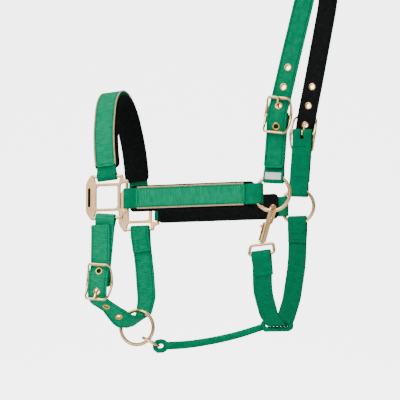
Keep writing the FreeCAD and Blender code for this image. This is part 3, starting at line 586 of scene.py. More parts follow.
def cast(name, parts, voxel, rounds):
    """One casting from overlapping closed parts, with soft fillets where they meet."""
    made = joined(name, parts)
    change = made.modifiers.new("remesh", "REMESH")
    change.mode = "VOXEL"
    change.voxel_size = voxel * MM
    change.use_smooth_shade = True
    ease = made.modifiers.new("ease", "SMOOTH")
    ease.factor = 0.5
    ease.iterations = rounds
    baked(made)
    if not made.data.materials:
        made.data.materials.append(mat_metal)
    made.data.polygons.foreach_set("use_smooth", [True] * len(made.data.polygons))
    return made


def plate(name, loops, thick, bevel, material=None):
    """A flat plate in the XZ plane, with rounded edges; loops are closed (x, z) lines."""
    curve = bpy.data.curves.new(name, "CURVE")
    curve.dimensions = "2D"
    curve.fill_mode = "BOTH"
    curve.extrude = (thick / 2 - bevel) * MM
    curve.bevel_depth = bevel * MM
    curve.bevel_resolution = 4
    curve.offset = -bevel * MM
    for loop in loops:
        points = loop[:-1] if np.allclose(loop[0], loop[-1]) else loop
        spline = curve.splines.new("POLY")
        spline.points.add(len(points) - 1)
        for spot, (x, z, _) in zip(spline.points, points):
            spot.co = (x * MM, z * MM, 0, 1)
        spline.use_cyclic_u = True
    holder = placed(name + "_outline", curve)
    mesh = evaluated_mesh(holder)
    bpy.data.objects.remove(holder)
    bpy.data.curves.remove(curve)
    mesh.name = name
    mesh.transform(Matrix.Rotation(math.pi / 2, 4, "X"))
    mesh.materials.clear()
    mesh.materials.append(material or mat_metal)
    return tidy_normals(placed(name, mesh), 0.01)


def lathe(name, profile, spot, axis, material, sides=40):
    """A closed solid of revolution; profile is (radius, height) pairs from axis to axis."""
    axis = unit(axis)
    rough = np.array([1.0, 0, 0]) if abs(axis[0]) < 0.8 else np.array([0, 1.0, 0])
    first = unit(rough - axis * (rough @ axis))
    second = np.cross(axis, first)
    angles = np.linspace(0, 2 * math.pi, sides, endpoint=False)
    points = []
    for radius, height in profile:
        for angle in angles:
            points.append(np.asarray(spot) + axis * height
                          + (first * math.cos(angle) + second * math.sin(angle)) * radius)
    closed = np.allclose(profile[0], profile[-1])
    if closed:
        points = points[:-sides]
    rows = len(points) // sides
    faces = grid_faces(rows, sides, closed)
    if not closed:
        faces += caps(rows, sides)
    return tidy_normals(mesh_object(name, points, faces, material))


def moved(made, point, spin=None):
    """Puts a part that was drawn round the origin in its place."""
    made.data.transform(Matrix.Translation(Vector(point) * MM) @ (spin or Matrix.Identity(4)))
    return made


def turned(axis, degrees):
    return Matrix.Rotation(math.radians(degrees), 4, axis)


# ---------------------------------------------------------------- stitches

STITCH_SIDES = 8
STITCH_RINGS = (-1, -0.93, -0.7, -0.3, 0.3, 0.7, 0.93, 1)


def stitch_mesh(name, marks, material, long, thread):
    """Small rounded stitches; marks are (point, direction, normal)."""
    points = []
    faces = []
    rings = len(STITCH_RINGS)
    angles = np.linspace(0, 2 * math.pi, STITCH_SIDES, endpoint=False)
    for spot, way, normal in marks:
        side = np.cross(way, normal)
        start = len(points)
        for t in STITCH_RINGS:
            wide = thread * math.sqrt(max(1 - abs(t) ** 4, 0.03))
            centre = spot + way * (t * long / 2) - normal * (0.35 * thread * t * t)
            for angle in angles:
                points.append(centre + side * (wide * math.cos(angle))
                              + normal * (wide * 0.8 * math.sin(angle)))
        faces += [tuple(start + k for k in f)
                  for f in grid_faces(rings, STITCH_SIDES) + caps(rings, STITCH_SIDES)]
    uv = [(p[0] + p[2], p[1]) for p in points]
    return tidy_normals(mesh_object(name, points, faces, material, uv))


def seam(strap, start, end, n, pitch):
    """Stitch places on a strap's face from (s, v) to (s, v)."""
    start = np.array(start, float)
    end = np.array(end, float)
    count = max(1, int(round(np.linalg.norm(end - start) / pitch)))
    marks = []
    face = 1 if n >= 0 else -1
    for k in range(count):
        s, v = start + (end - start) * ((k + 0.5) / count)
        step = (end - start) / count * 0.3
        here = strap.spots([s], v, n)[0]
        ahead = strap.spots([s + step[0]], v + step[1], n)[0]
        behind = strap.spots([s - step[0]], v - step[1], n)[0]
        _, outward, _ = strap.at([s])
        way = unit(ahead - behind)
        marks.append((here, way, unit(outward[0] * face - way * (outward[0] * face @ way))))
    return marks


def folded(first, last, layer, step=0.4):
    """Lengths and heights of webbing that runs on both sides of a spine and folds at its ends.

    first and last are (length where the fold's middle is, fold radius, flat run, taper).
    """
    start_s, start_r, start_flat, start_taper = first
    end_s, end_r, end_flat, end_taper = last
    s = np.arange(start_s, end_s, step)
    reach = layer / 2
    lift = np.zeros(len(s))
    for centre, radius, flat, taper, gap in (
            (start_s, start_r, start_flat, start_taper, s - start_s),
            (end_s, end_r, end_flat, end_taper, end_s - s)):
        t = np.clip(1 - (gap - flat) / taper, 0, 1)
        lift = np.maximum(lift, (radius - reach) * t * t * (3 - 2 * t))
    n = reach + lift
    turns = np.linspace(0, math.pi, 24)[1:-1]
    fold_s = [end_s + end_r * np.sin(turns), start_s - start_r * np.sin(turns)]
    fold_n = [end_r * np.cos(turns), -start_r * np.cos(turns)]
    middle = len(s) // 2
    along = np.concatenate([s[middle:], fold_s[0], s[::-1], fold_s[1], s[:middle]])
    out = np.concatenate([n[middle:], fold_n[0], -n[::-1], fold_n[1], n[:middle]])
    return along, out


# ---------------------------------------------------------------- sizes

SIDE_Y = 65
RING_X = -55
CHEEK_Z = -309
CHEEK_RISE = 0.4
SQUARE_X = -268
SQUARE_Z = -306
WEBBING = 25
LAYER = 2
RING_WIRE = 4.5
RING_MIDDLE = 43
BAR_WIRE = 4
BAR_REACH = 26
OVERLAY_WIDE = 24
OVERLAY_HIGH = 3.65
PIPING_AT = 3.05
PIPING_SIDE = 13.0
PIPING_WIDE = 1.9
PAD_WIDE = 33
PAD_HIGH = -2.1
PAD_LOW = -6.6
PAD_STITCH = 12.6
WEB_HALF = 0.98
RING_FOLD = 2.75
# how webbing turns at a ring: fold radius, flat run, taper
RING_TURN = (3.75, 5.2, 10)
SIDES = (("near", -1), ("off", 1))
X_AXIS = np.array([1.0, 0, 0])
Z_AXIS = np.array([0, 0, 1.0])
RING_ROOM = (RING_MIDDLE - RING_WIRE) / 2 - 0.4
STRAP_REACH = math.sqrt(RING_ROOM ** 2 - (WEBBING / 2) ** 2)
CHEEK_REACH = math.sqrt(RING_ROOM ** 2 - (WEBBING / 2 + CHEEK_RISE) ** 2)


def facing(line, across, sign, soften=0):
    """A spine whose outward side points away from the horse, on either side."""
    strap = Strap(line, across, step=0.5, soften=soften)
    if strap.at([1])[1][0][1] * sign < 0:
        strap = Strap(line, -across, step=0.5, soften=soften)
    return strap


def folded_webbing(name, spine, first, last, cloth=None):
    """Plain webbing, doubled along a spine and folded at both ends."""
    along, out = folded(first, last, LAYER)
    loop = Strap(spine.spots(along, 0, out), spine.at([0])[2][0], step=0.3)
    return strap_mesh(name, loop, 0.05, loop.length - 0.05, WEBBING, -WEB_HALF, WEB_HALF,
                      cloth or mat_webbing, rib=0.09, pitch=0.95, edge=0.6, inner=15)


def piping_mesh(name, strap, s0, s1, v, n):
    """Twisted metallic cord along a strap's edge."""
    marks = np.arange(s0, s1, 0.3)
    line = strap.spots(marks, v, n)
    radius = np.full(len(marks), PIPING_WIDE / 2)
    radius *= np.clip(np.minimum(marks - s0, marks[-1] - marks) / 0.8, 0.25, 1) ** 0.5
    return tube_mesh(name, line, radius, mat_piping, sides=18, lobes=3, lobe=0.16, twist=6.5)


def dressed(prefix, strap, body, o0, o1):
    """Overlay, piping and stitching that lie on a spine strap."""
    over = strap_mesh(prefix + "_overlay_cloth", strap, o0, o1, OVERLAY_WIDE, 2.05, OVERLAY_HIGH,
                      mat_overlay, corners=(4, 4), rib=0.16, pitch=1.7, edge=0.7, waves=0.04,
                      inner=15)
    finish_mesh(over, body, [prefix + "_overlay"])
    parts = [piping_mesh(f"{prefix}_piping_{k}", strap, o0 + 1.5, o1 - 1.5,
                         sign * PIPING_SIDE, PIPING_AT) for k, sign in enumerate((1, -1))]
    finish_mesh(joined(prefix + "_metallic_piping", parts), body,
                [prefix + "_piping"])
    marks = []
    for s in (o0 + 3.2, o1 - 3.2):
        marks += seam(strap, (s, -9.5), (s, 9.5), OVERLAY_HIGH + 0.12, 2.4)
    for v in (-10.6, 10.6):
        marks += seam(strap, (o0 + 4, v), (o1 - 4, v), OVERLAY_HIGH + 0.05, 2.8)
    finish_mesh(stitch_mesh(prefix + "_overlay_stitching", marks, mat_thread, 1.7, 0.34), body)


# ---------------------------------------------------------------- cheek pieces

cheek_start = SQUARE_X + BAR_REACH
cheek_end = RING_X - CHEEK_REACH
cheek_mid_z = CHEEK_Z + CHEEK_RISE
cheek_overlay = (cheek_start + 12.6, cheek_end - 20.5)
cheek_pad = (cheek_start + 2, cheek_end - 10)


def felt_pad(name, strap, s0, s1, thin_ends, body, node):
    """A felt pad with a sewn edge; its ends are thinner where the webbing folds stand proud."""
    low, high = PAD_LOW, PAD_HIGH
    made = strap_mesh(name, strap, s0, s1, PAD_WIDE, low, high, mat_felt, corners=(6, 6),
                      edge=2.0, step=0.8, inner=21, dips=(PAD_STITCH,), dip=0.35, waves=0.06)
    if thin_ends:
        points = points_of(made.data)
        origin, outward, _ = strap.at([0])
        out = (points - origin) @ outward[0]
        way = strap.at([strap.length])[0][0] - origin[0]
        s = (points - origin) @ unit(way)
        t = np.clip((9 - np.minimum(s - s0, s1 - s)) / 5, 0, 1)
        t = t * t * (3 - 2 * t)
        share = (out - low) / (high - low)
        points -= outward[0] * (share * t * 2.7)[:, None]
        set_points(made.data, points)
    finish_mesh(made, body, [node])
    marks = []
    face = PAD_LOW - 0.02
    for v in (-PAD_STITCH, PAD_STITCH):
        marks += seam(strap, (s0 + 5, v), (s1 - 5, v), face + 0.3, 3.2)
    for s in (s0 + 4.5, s1 - 4.5):
        marks += seam(strap, (s, -12), (s, 12), face + 0.2, 3.2)
    finish_mesh(stitch_mesh(name + "_stitching", marks, mat_black_thread, 2.2, 0.3), body)


for side, sign in SIDES:
    line = [(cheek_start, sign * SIDE_Y, cheek_mid_z), (cheek_end, sign * SIDE_Y, cheek_mid_z)]
    spine = facing(line, -sign * Z_AXIS, sign)
    x0 = cheek_start
    web = folded_webbing(f"{side}_cheek_base", spine, (0, 3.4, 1.0, 10),
                         (cheek_end - x0 - RING_FOLD, *RING_TURN))
    finish_mesh(web, "headstall", [f"{side}_cheek_webbing"])
    dressed(f"{side}_cheek", spine, "headstall", cheek_overlay[0] - x0, cheek_overlay[1] - x0)
    felt_pad(f"{side}_cheek_felt", spine, cheek_pad[0] - x0, cheek_pad[1] - x0, True, "headstall",
             f"{side}_cheek_pad")

# ---------------------------------------------------------------- noseband

NOSE_TILT = math.radians(-5.2)
nose_base = np.array([SQUARE_X, 0, SQUARE_Z + BAR_REACH], float)
nose_up = np.array([math.sin(NOSE_TILT), 0, math.cos(NOSE_TILT)])
nose_across = np.array([math.cos(NOSE_TILT), 0, -math.sin(NOSE_TILT)])
nose_low = [(-65, 0, 0), (-65, 32, 90), (-61.5, 57, 90), (-41, 100, 55), (0, 124, 52)]
nose_corners = nose_low + [(-y, up, r) for y, up, r in reversed(nose_low[:-1])]
nose_line = rounded([(*(nose_base + np.array([0, y, 0]) + nose_up * up), r)
                     for y, up, r in nose_corners], 1.0)
nose = facing(nose_line, nose_across, -1, 6)
web = folded_webbing("noseband_base", nose, (0, 4.5, 0.5, 8), (nose.length, 4.5, 0.5, 8))
finish_mesh(web, "headstall", ["noseband_webbing"])
OVER_NOSE = 12.5
PAD_NOSE = 10.5
dressed("noseband", nose, "headstall", OVER_NOSE, nose.length - OVER_NOSE)
felt_pad("noseband_felt", nose, PAD_NOSE, nose.length - PAD_NOSE, False, "headstall",
         "noseband_pad")

# ---------------------------------------------------------------- squares

HALF_WINDOW = 14
RIM = 17.6
BAR_END = 19
PLATE_OUT = -27.5
PLATE_TALL = 29
LUG = BAR_WIRE / 2


def square_outline():
    upper = [
        (PLATE_OUT, PLATE_TALL - 10, 16),
        (-RIM - 2, PLATE_TALL + 0.5, 3), (-RIM + 1, BAR_REACH + LUG, 1),
        (-RIM + 1, BAR_REACH - LUG, 1), (-RIM + 3, RIM, 2.5),
        (RIM - 1.5, RIM, 2.5), (BAR_END - 2, BAR_REACH - LUG, 0.8),
        (BAR_END - 2, BAR_REACH + LUG, 0.8), (BAR_END + 2, BAR_REACH + LUG, 1.5),
        (RIM + 2.4, RIM + 2.4, 5), (BAR_REACH + LUG, BAR_END + 2, 1.5),
        (BAR_REACH + LUG, BAR_END - 2, 0.8), (BAR_REACH - LUG, BAR_END - 2, 0.8),
        (RIM, RIM - 1.5, 2.5),
    ]
    lower = [(x, -z, r) for x, z, r in reversed(upper)]
    return rounded([(x, z, 0, r) for x, z, r in upper + lower], 0.5, closed=True)


def box_line(x0, z0, x1, z1, radius):
    corners = [(x0, z0), (x1, z0), (x1, z1), (x0, z1)]
    return rounded([(x, z, 0, radius) for x, z in corners], 0.4, closed=True)


def rod(name, first, last, radius):
    return tube_mesh(name, [first, last], radius, mat_metal, sides=24, step=0.8)


for side, sign in SIDES:
    window = box_line(-HALF_WINDOW, -HALF_WINDOW, HALF_WINDOW, HALF_WINDOW, 3)
    slot = box_line(-24.6, -12.1, -21.3, 12.1, 1.5)
    frame_plate = plate(f"{side}_square_plate", [square_outline(), window], 3.8, 0.1)
    parts = [frame_plate]
    for row in (1, -1):
        parts.append(rod(f"{side}_bar_{row + 1}", (-RIM - 1, 0, row * BAR_REACH),
                         (BAR_END, 0, row * BAR_REACH), LUG))
    parts.append(rod(f"{side}_side_bar", (BAR_REACH, 0, -BAR_END), (BAR_REACH, 0, BAR_END), LUG))
    casting = cast(f"{side}_square_casting", parts, 0.25, 14)
    seat = plate(f"{side}_slot", [slot], 3, 0.05)
    moved(seat, (0, -2.5, 0))
    cut(casting, [seat])
    casting.data.polygons.foreach_set("use_smooth", [True] * len(casting.data.polygons))
    inlay_line = box_line(-24.5, -12, -21.4, 12, 1.4)
    inlay = plate(f"{side}_square_enamel", [inlay_line], 0.9, 0.2, mat_inlay)
    moved(inlay, (0, -1.5, 0))
    spin = turned("X", 0 if side == "near" else 180)
    spot = (SQUARE_X, sign * SIDE_Y, SQUARE_Z)
    finish_mesh(moved(casting, spot, spin), "headstall", [f"{side}_square"])
    finish_mesh(moved(inlay, spot, spin), "headstall", [f"{side}_square_inlay"])

# ---------------------------------------------------------------- rings


def ring_mesh(name, spot):
    turns = np.linspace(0, 2 * math.pi, 145)
    radius = RING_MIDDLE / 2
    line = [np.array(spot) + np.array([radius * math.cos(t), 0, radius * math.sin(t)])
            for t in turns]
    return tube_mesh(name, line, RING_WIRE / 2, mat_metal, sides=36, closed=True)


CHIN_RING = (-249, 0, -465)
for side, sign in SIDES:
    finish_mesh(ring_mesh(f"{side}_ring_wire", (RING_X, sign * SIDE_Y, CHEEK_Z)),
                f"{side}_ring", [f"{side}_cheek_ring"])
finish_mesh(ring_mesh("chin_ring_wire", CHIN_RING), "chin_ring", ["chin_ring"])

# ---------------------------------------------------------------- crown

CROWN_TILT = math.radians(12.5)
lean = np.array([math.sin(CROWN_TILT), 0, math.cos(CROWN_TILT)])
BAR_DROP = 219.2
crown_bar = lean * -BAR_DROP
ring_to_bar = crown_bar - np.array([RING_X, 0, CHEEK_Z])
billet_long = float(np.linalg.norm(ring_to_bar))
billet_way = ring_to_bar / billet_long
billet_tilt = math.degrees(math.atan2(ring_to_bar[0], ring_to_bar[2]))
buckle_tilt = (12.5 + billet_tilt) / 2
TAIL = 65
EYELET_AT = 12
EYELET_PITCH = 25
EYELET_BORE = 5.8
EYELET_FLANGE = 9.4
BUCKLE_LONG = 45
BUCKLE_WIDE = 37
BUCKLE_RISE = 9.8
BUCKLE_THICK = 3
BAR_ROW = 21.0
bow = (BAR_ROW ** 2 + BUCKLE_RISE ** 2) / (2 * BUCKLE_RISE)


def buckle_mesh(name):
    """A bowed centre-bar frame: Z along the strap, X across it, -Y outwards."""
    wide = BUCKLE_WIDE / 2
    long = BUCKLE_LONG / 2
    barrel = [(-wide + 3.5, -long, 6), (wide - 3.5, -long, 6), (wide, 0, 60),
              (wide - 3.5, long, 6), (-wide + 3.5, long, 6), (-wide, 0, 60)]
    outline = rounded([(x, z, 0, r) for x, z, r in barrel], 0.5, closed=True)
    side = wide - 3.5
    loops = [outline]
    for near, far in ((1.5, long - 2.8), (-1.5, -long + 2.8)):
        corners = [(-side + 1, near), (side - 1, near), (side - 1.6, far), (-side + 1.6, far)]
        loops.append(rounded([(x, z, 0, 2) for x, z in corners], 0.4, closed=True))
    flat = plate(name, loops, BUCKLE_THICK, 1.25)
    flat = cast(name, [flat], 0.3, 4)
    points = points_of(flat.data)
    turn_at = np.arcsin(np.clip(points[:, 2] / bow, -0.99, 0.99))
    reach = bow + points[:, 1]
    points[:, 1] = reach * np.cos(turn_at) - bow
    points[:, 2] = reach * np.sin(turn_at)
    set_points(flat.data, points)
    return flat


def tongue_mesh(name):
    """Folds round the centre bar, rises through an eyelet and rests on the end bar."""
    middle = 3.55
    route = [(0, -middle, -1.5, 0), (0, -middle, 2, 0), (0, -middle + 0.1, 10.2, 1.6),
             (0, -10.8, 14.4, 1.6), (0, -15.7, 22, 0)]
    blade_line = even(rounded(route, 0.4), 0.4)
    blade = Strap(blade_line, X_AXIS, step=0.4, soften=2)
    arm = strap_mesh(name + "_blade", blade, 0, blade.length, 2.6, -1, 1, mat_metal,
                     corners=(0.5, 1.2), edge=0.6, step=0.4, inner=3)
    turns = np.linspace(0, 2 * math.pi, 49)
    loop_line = [(0, middle * math.cos(t), middle * math.sin(t)) for t in turns]
    loop = Strap(loop_line, X_AXIS, step=0.4)
    hoop = strap_mesh(name + "_hoop", loop, 0, loop.length, 2.6, -1, 1, mat_metal, edge=0.6,
                      step=0.4, inner=3)
    return cast(name, [arm, hoop], 0.2, 3)


def stand(made, point, out_sign, tilt, flipped=False):
    spin = turned("Y", tilt)
    if out_sign > 0:
        spin = spin @ turned("Z", 180)
    if flipped:
        spin = spin @ turned("Y", 180)
    return moved(made, point, spin)


def buckle_and_tongue(label, body, tongue_body, *where):
    """A buckle's frame and its tongue; where is what stand asks for."""
    rim = stand(buckle_mesh(label + "_bow"), *where)
    finish_mesh(rim, body, [label + "_frame"])
    pin = stand(tongue_mesh(label + "_pin"), *where)
    finish_mesh(pin, tongue_body, [label + "_tongue"])


def eyelet_mesh(name, strap, s, low, high):
    """A rolled brass eyelet through a strap."""
    point, outward, _ = strap.at([s])
    bore = EYELET_BORE / 2
    rim = EYELET_FLANGE / 2
    flange = 0.6
    turns = np.linspace(0, math.pi, 9)
    middle = (bore + rim) / 2
    half = (rim - bore) / 2
    upper = [(middle - half * math.cos(t), high + flange * math.sin(t)) for t in turns]
    lower = [(middle + half * math.cos(t), low - flange * math.sin(t)) for t in turns]
    outer_wall = [(bore + 0.5, high), (bore + 0.5, low)]
    profile = upper + outer_wall + lower + upper[:1]
    return lathe(name, profile, point[0], outward[0], mat_brass, 36)


def hole_cutter(strap, s, radius, reach):
    point, outward, _ = strap.at([s])
    return lathe("cutter", [(radius, -reach), (radius, reach)], point[0], outward[0], mat_metal,
                 32)


def eyelets(name, strap, tail, faces, pieces, backward=False):
    """Opens a strap's pieces near one end, and returns the brass eyelets that go there."""
    places = [tail + EYELET_AT + k * EYELET_PITCH for k in range(-1, 3)]
    if backward:
        places = [strap.length - s for s in places]
    for piece in pieces:
        cut(piece, [hole_cutter(strap, s, EYELET_BORE / 2 + 0.4, 6) for s in places])
    return joined(name, [eyelet_mesh("eyelet", strap, s, *faces) for s in places])


def billet_mesh(name, foot, way, long, sign, first, body, node, cloth=None):
    """Webbing folded round two things, with a slot for the tongue in the far fold."""
    head = np.array(foot) + np.array(way) * long
    spine = facing([foot, head], np.cross(way, [0, sign, 0]), sign)
    web = folded_webbing(name, spine, first, (long, 3.9, 0.5, 13), cloth)
    point, outward, width = spine.at([long])
    middle = point[0]
    box = [middle + width[0] * (v * 2.2) + outward[0] * n + np.array(way) * s
           for s in (-8, 8) for n in (-9, 9) for v in (-1, 1)]
    faces = [(0, 1, 3, 2), (4, 6, 7, 5), (0, 4, 5, 1), (2, 3, 7, 6), (0, 2, 6, 4), (1, 5, 7, 3)]
    slot = tidy_normals(mesh_object("slot_cutter", box, faces, mat_metal, smooth_shade=False))
    cut(web, [slot])
    finish_mesh(web, body, [node])
    marks = []
    for s in (first[0] + first[1] + first[2] + first[3] + 2, long - 18):
        for face in (LAYER, -LAYER):
            marks += seam(spine, (s, -10), (s, 10), face * 1.03, 2.6)
    finish_mesh(stitch_mesh(name + "_stitching", marks, mat_thread, 1.8, 0.27), body)
    return spine


for side, sign in SIDES:
    bar_point = (crown_bar[0], sign * SIDE_Y, crown_bar[2])
    label = f"crown_{side}_buckle"
    buckle_and_tongue(label, "crown", f"crown_{side}_tongue", bar_point, sign, buckle_tilt)
    ring_spot = np.array([RING_X, sign * SIDE_Y, CHEEK_Z], float)
    spine = billet_mesh(f"crown_{side}_billet_cloth", ring_spot, billet_way, billet_long, sign,
                        (STRAP_REACH + RING_FOLD, *RING_TURN), "crown", f"crown_{side}_billet")
    if side == "near":
        tag_spine = spine

tag = strap_mesh("blank_care_label", tag_spine, 16.5, 25, 20, 4.8, 5.2, mat_label,
                 corners=(0.6, 0.6), edge=0.2, inner=9, rib=0.02, pitch=0.5)
finish_mesh(tag, "crown", ["care_label"])


def crown_point(up, out, side_sign, radius):
    way = lean if up > 0 else billet_way
    spot = crown_bar + way * up
    return (spot[0], side_sign * (SIDE_Y + out), spot[2], radius)


rising = [(-TAIL, 5.4, 0), (-55, 3.75, 12), (-20, 3.75, 14), (-7.5, 7.2, 8), (7.5, 7.2, 8),
          (20, 3.5, 14), (74, 0, 150)]
arch = [(-56.5, -60, 80), (-42, -12, 40), (0, 5.9, 42)]
crown_near = [crown_point(up, out, -1, r) for up, out, r in rising]
crown_near += [(lean[0] * up, y, lean[2] * up, r) for y, up, r in arch]
crown_corners = crown_near + [(x, -y, z, r) for x, y, z, r in reversed(crown_near[:-1])]
crown_line = rounded(crown_corners, 0.5)
crown_length = lengths_of(crown_line)[-1]
tail_across = np.array([billet_way[2], 0, -billet_way[0]])
arch_across = np.array([lean[2], 0, -lean[0]])
bend0 = (TAIL - 12) / crown_length
bend1 = (TAIL + 14) / crown_length
crown_table = [(0, tail_across), (bend0, tail_across), (bend1, arch_across),
               (1 - bend1, arch_across), (1 - bend0, tail_across), (1, tail_across)]
crown = Strap(crown_line, crown_table, step=0.4, soften=4)
OUTER_HIGH = 1.75
STITCH_LINE = 9.5
LINING_LOW = -1.65
outer = strap_mesh("crown_nubuck", crown, 0, crown.length, WEBBING, 0.05, OUTER_HIGH, mat_nubuck,
                   corners=(4.5, 4.5), edge=0.75, step=0.8, inner=17, dips=(STITCH_LINE,), dip=0.28,
                   waves=0.03)
lining = strap_mesh("crown_black_lining", crown, 0.4, crown.length - 0.4, WEBBING - 0.6,
                    LINING_LOW, -0.05, mat_lining, corners=(4.2, 4.2), edge=0.6, step=0.8,
                    inner=17, dips=(STITCH_LINE,), dip=0.2)
for side, _ in SIDES:
    rings = eyelets(f"crown_{side}_brass_eyelets", crown, TAIL, (LINING_LOW, OUTER_HIGH),
                    (outer, lining), side == "off")
    finish_mesh(rings, "crown", [f"crown_{side}_eyelets"])
finish_mesh(outer, "crown", ["crown_strap"])
finish_mesh(lining, "crown", ["crown_lining"])


def edge_seams(strap, inset, v, n):
    """Stitch places along both edges of one face and straight across near both ends."""
    end = strap.length - inset
    marks = []
    for side in (-v, v):
        marks += seam(strap, (inset, side), (end, side), n, 3.1)
    for s in (inset, end):
        marks += seam(strap, (s, -v + 1.5), (s, v - 1.5), n, 3.1)
    return marks


for label, n, thread, slot_name in (("crown_edge", OUTER_HIGH - 0.05, mat_thread, "nubuck_green"),
                                    ("lining_edge", LINING_LOW + 0.05, mat_black_thread,
                                     "lining_black")):
    marks = edge_seams(crown, 3, STITCH_LINE, n)
    finish_mesh(stitch_mesh(label + "_stitching", marks, thread, 2.1, 0.3), "crown")

# ---------------------------------------------------------------- chin strap

chin_top = np.array([-269.5, -SIDE_Y, SQUARE_Z - BAR_REACH], float)
chin_bar = np.array([-277, -SIDE_Y, -412.5], float)
chin_drop = chin_bar - chin_top
chin_long = float(np.linalg.norm(chin_drop))
chin_down = chin_drop / chin_long
chin_tilt = math.degrees(math.atan2(-chin_drop[0], -chin_drop[2]))
billet_mesh("chin_billet_cloth", chin_top, chin_down, chin_long, -1, (0, 4.5, 0.5, 13),
            "headstall", "chin_billet", mat_overlay)
buckle_and_tongue("chin_buckle", "headstall", "chin_tongue", chin_bar, -1, chin_tilt, True)

CHIN_TAIL = 72
CHIN_HALF = 1.5
chin_fold = 2.4 + CHIN_HALF
off_bar_z = SQUARE_Z - BAR_REACH
chin_points = []
for down, out, radius, aside in [(-CHIN_TAIL, 5.4, 0, -4.5), (-62, 3.65, 12, -3.6),
                                 (-20, 3.65, 14, 0), (-7.5, 7.1, 8, 0), (7.5, 7.1, 8, 0),
                                 (21.5, 3.3, 14, 0)]:
    spot = chin_bar + chin_down * down
    chin_points.append((spot[0] + aside, spot[1] - out, spot[2], radius))
chin_points += [
    (-266, -52, -445, 24),
    (-257.5, -27, -458.5, 26),
    (-253, 0, -457.5, 60),
    (-251, 30, -452, 24),
    (-254, 56, -424, 30),
    (-260, SIDE_Y + 1.7, -388, 60),
    (-264, SIDE_Y + 1.7, -354, 16),
    (-265.5, SIDE_Y + chin_fold, -341, 16),
    (-266, SIDE_Y + chin_fold, off_bar_z + chin_fold, chin_fold * 0.99),
    (-266, SIDE_Y - chin_fold, off_bar_z + chin_fold, chin_fold * 0.99),
    (-265.5, SIDE_Y - chin_fold, -341, 16),
    (-264, SIDE_Y - 1.6, -354, 16),
    (-263, SIDE_Y - 1.6, -362, 0),
]
near_across = np.array([-chin_down[2], 0, chin_down[0]])
under_across = np.array([0.83, 0, 0.55])
chin_table = [(0, near_across), (0.29, near_across), (0.38, under_across), (0.5, under_across),
              (0.74, np.array([0.99, 0, -0.12])), (0.84, X_AXIS), (1, X_AXIS)]
chin = Strap(rounded(chin_points, 0.5), chin_table, step=0.4, soften=4)
chin_cloth = strap_mesh("chin_nubuck", chin, 0, chin.length, WEBBING, -CHIN_HALF, CHIN_HALF,
                        mat_overlay, corners=(3, 2), rib=0.1, pitch=1.7, edge=0.9, step=0.8,
                        inner=17, dips=(STITCH_LINE,), dip=0.25, waves=0.03)
rings = eyelets("chin_brass_eyelets", chin, CHIN_TAIL, (-CHIN_HALF, CHIN_HALF), [chin_cloth])
finish_mesh(chin_cloth, "headstall", ["chin_strap"])
finish_mesh(rings, "headstall", ["chin_eyelets"])
marks = edge_seams(chin, 3, STITCH_LINE, CHIN_HALF - 0.1)
marks += edge_seams(chin, 3, STITCH_LINE, -CHIN_HALF + 0.1)
finish_mesh(stitch_mesh("chin_stitching", marks, mat_thread, 2.1, 0.3), "headstall")

# ---------------------------------------------------------------- throat strap

THROAT_HALF = 1.3
EYE_Y = -SIDE_Y - 8.5
ring_fold = 2.8 + THROAT_HALF
ring_fold_z = CHEEK_Z - STRAP_REACH + THROAT_HALF - 0.65
eye_fold = 2.4 + THROAT_HALF
BAR_SLOPE = 0.098
bar_up = unit([-BAR_SLOPE, 0, 1])
strap_bar = np.array([(-51 - 83.5) / 2 - 0.2, EYE_Y, (-382.6 - 385.8) / 2])


def by_bar(up, out):
    """A point over the middle of the swivel bar, square to it."""
    spot = strap_bar + bar_up * up
    return (spot[0], EYE_Y + out, spot[2])


throat_points = [
    (-55.5, SIDE_Y - 1.45, -356, 0),
    (-55.2, SIDE_Y - 1.45, -350, 16),
    (-55, SIDE_Y - ring_fold, -338, 16),
    (-55, SIDE_Y - ring_fold, ring_fold_z, ring_fold * 0.99),
    (-55, SIDE_Y + ring_fold, ring_fold_z, ring_fold * 0.99),
    (-55, SIDE_Y + ring_fold, -338, 16),
    (-55.2, SIDE_Y + 1.45, -352, 30),
    (-56, SIDE_Y - 1, -384, 80),
    (-58.5, 45, -430, 40),
    (-61, 18, -460, 18),
    (-64.5, -8, -467.5, 25),
    (-67.5, -36, -456, 28),
    (-69, -62, -428, 60),
    (*by_bar(-14, -0.95), 16),
    (*by_bar(-5, -eye_fold), 10),
    (*by_bar(eye_fold, -eye_fold), eye_fold * 0.99),
    (*by_bar(eye_fold, eye_fold), eye_fold * 0.99),
    (*by_bar(-5, eye_fold), 10),
    (*by_bar(-14, 1.9), 16),
    (*by_bar(-26, 1.9), 0),
]
bar_across = np.array([bar_up[2], 0, -bar_up[0]])
throat_table = [(0, X_AXIS), (0.7, X_AXIS), (0.86, bar_across), (1, bar_across)]
throat = Strap(rounded(throat_points, 0.4), throat_table, step=0.3, soften=3)
# the throat strap takes the darker painted-shade copy of the webbing
made = strap_mesh("throat_cloth", throat, 0, throat.length, WEBBING - 1, -THROAT_HALF, THROAT_HALF,
                  mat_throat_painted_shade, corners=(1, 1), rib=0.14, pitch=1.7, edge=0.9, inner=15,
                  waves=0.03)
finish_mesh(made, "headstall", ["throat_strap"])
marks = []
throat_seams = [(3.5, 1), (3.5, -1), (12.5, 1), (12.5, -1), (throat.length - 10, 1),
                (throat.length - 60, -1)]
for s, face in throat_seams:
    marks += seam(throat, (s, -10), (s, 10), face * (THROAT_HALF + 0.05), 2.5)
finish_mesh(stitch_mesh("throat_stitching", marks, mat_thread, 1.8, 0.27), "headstall")

# ---------------------------------------------------------------- chin link

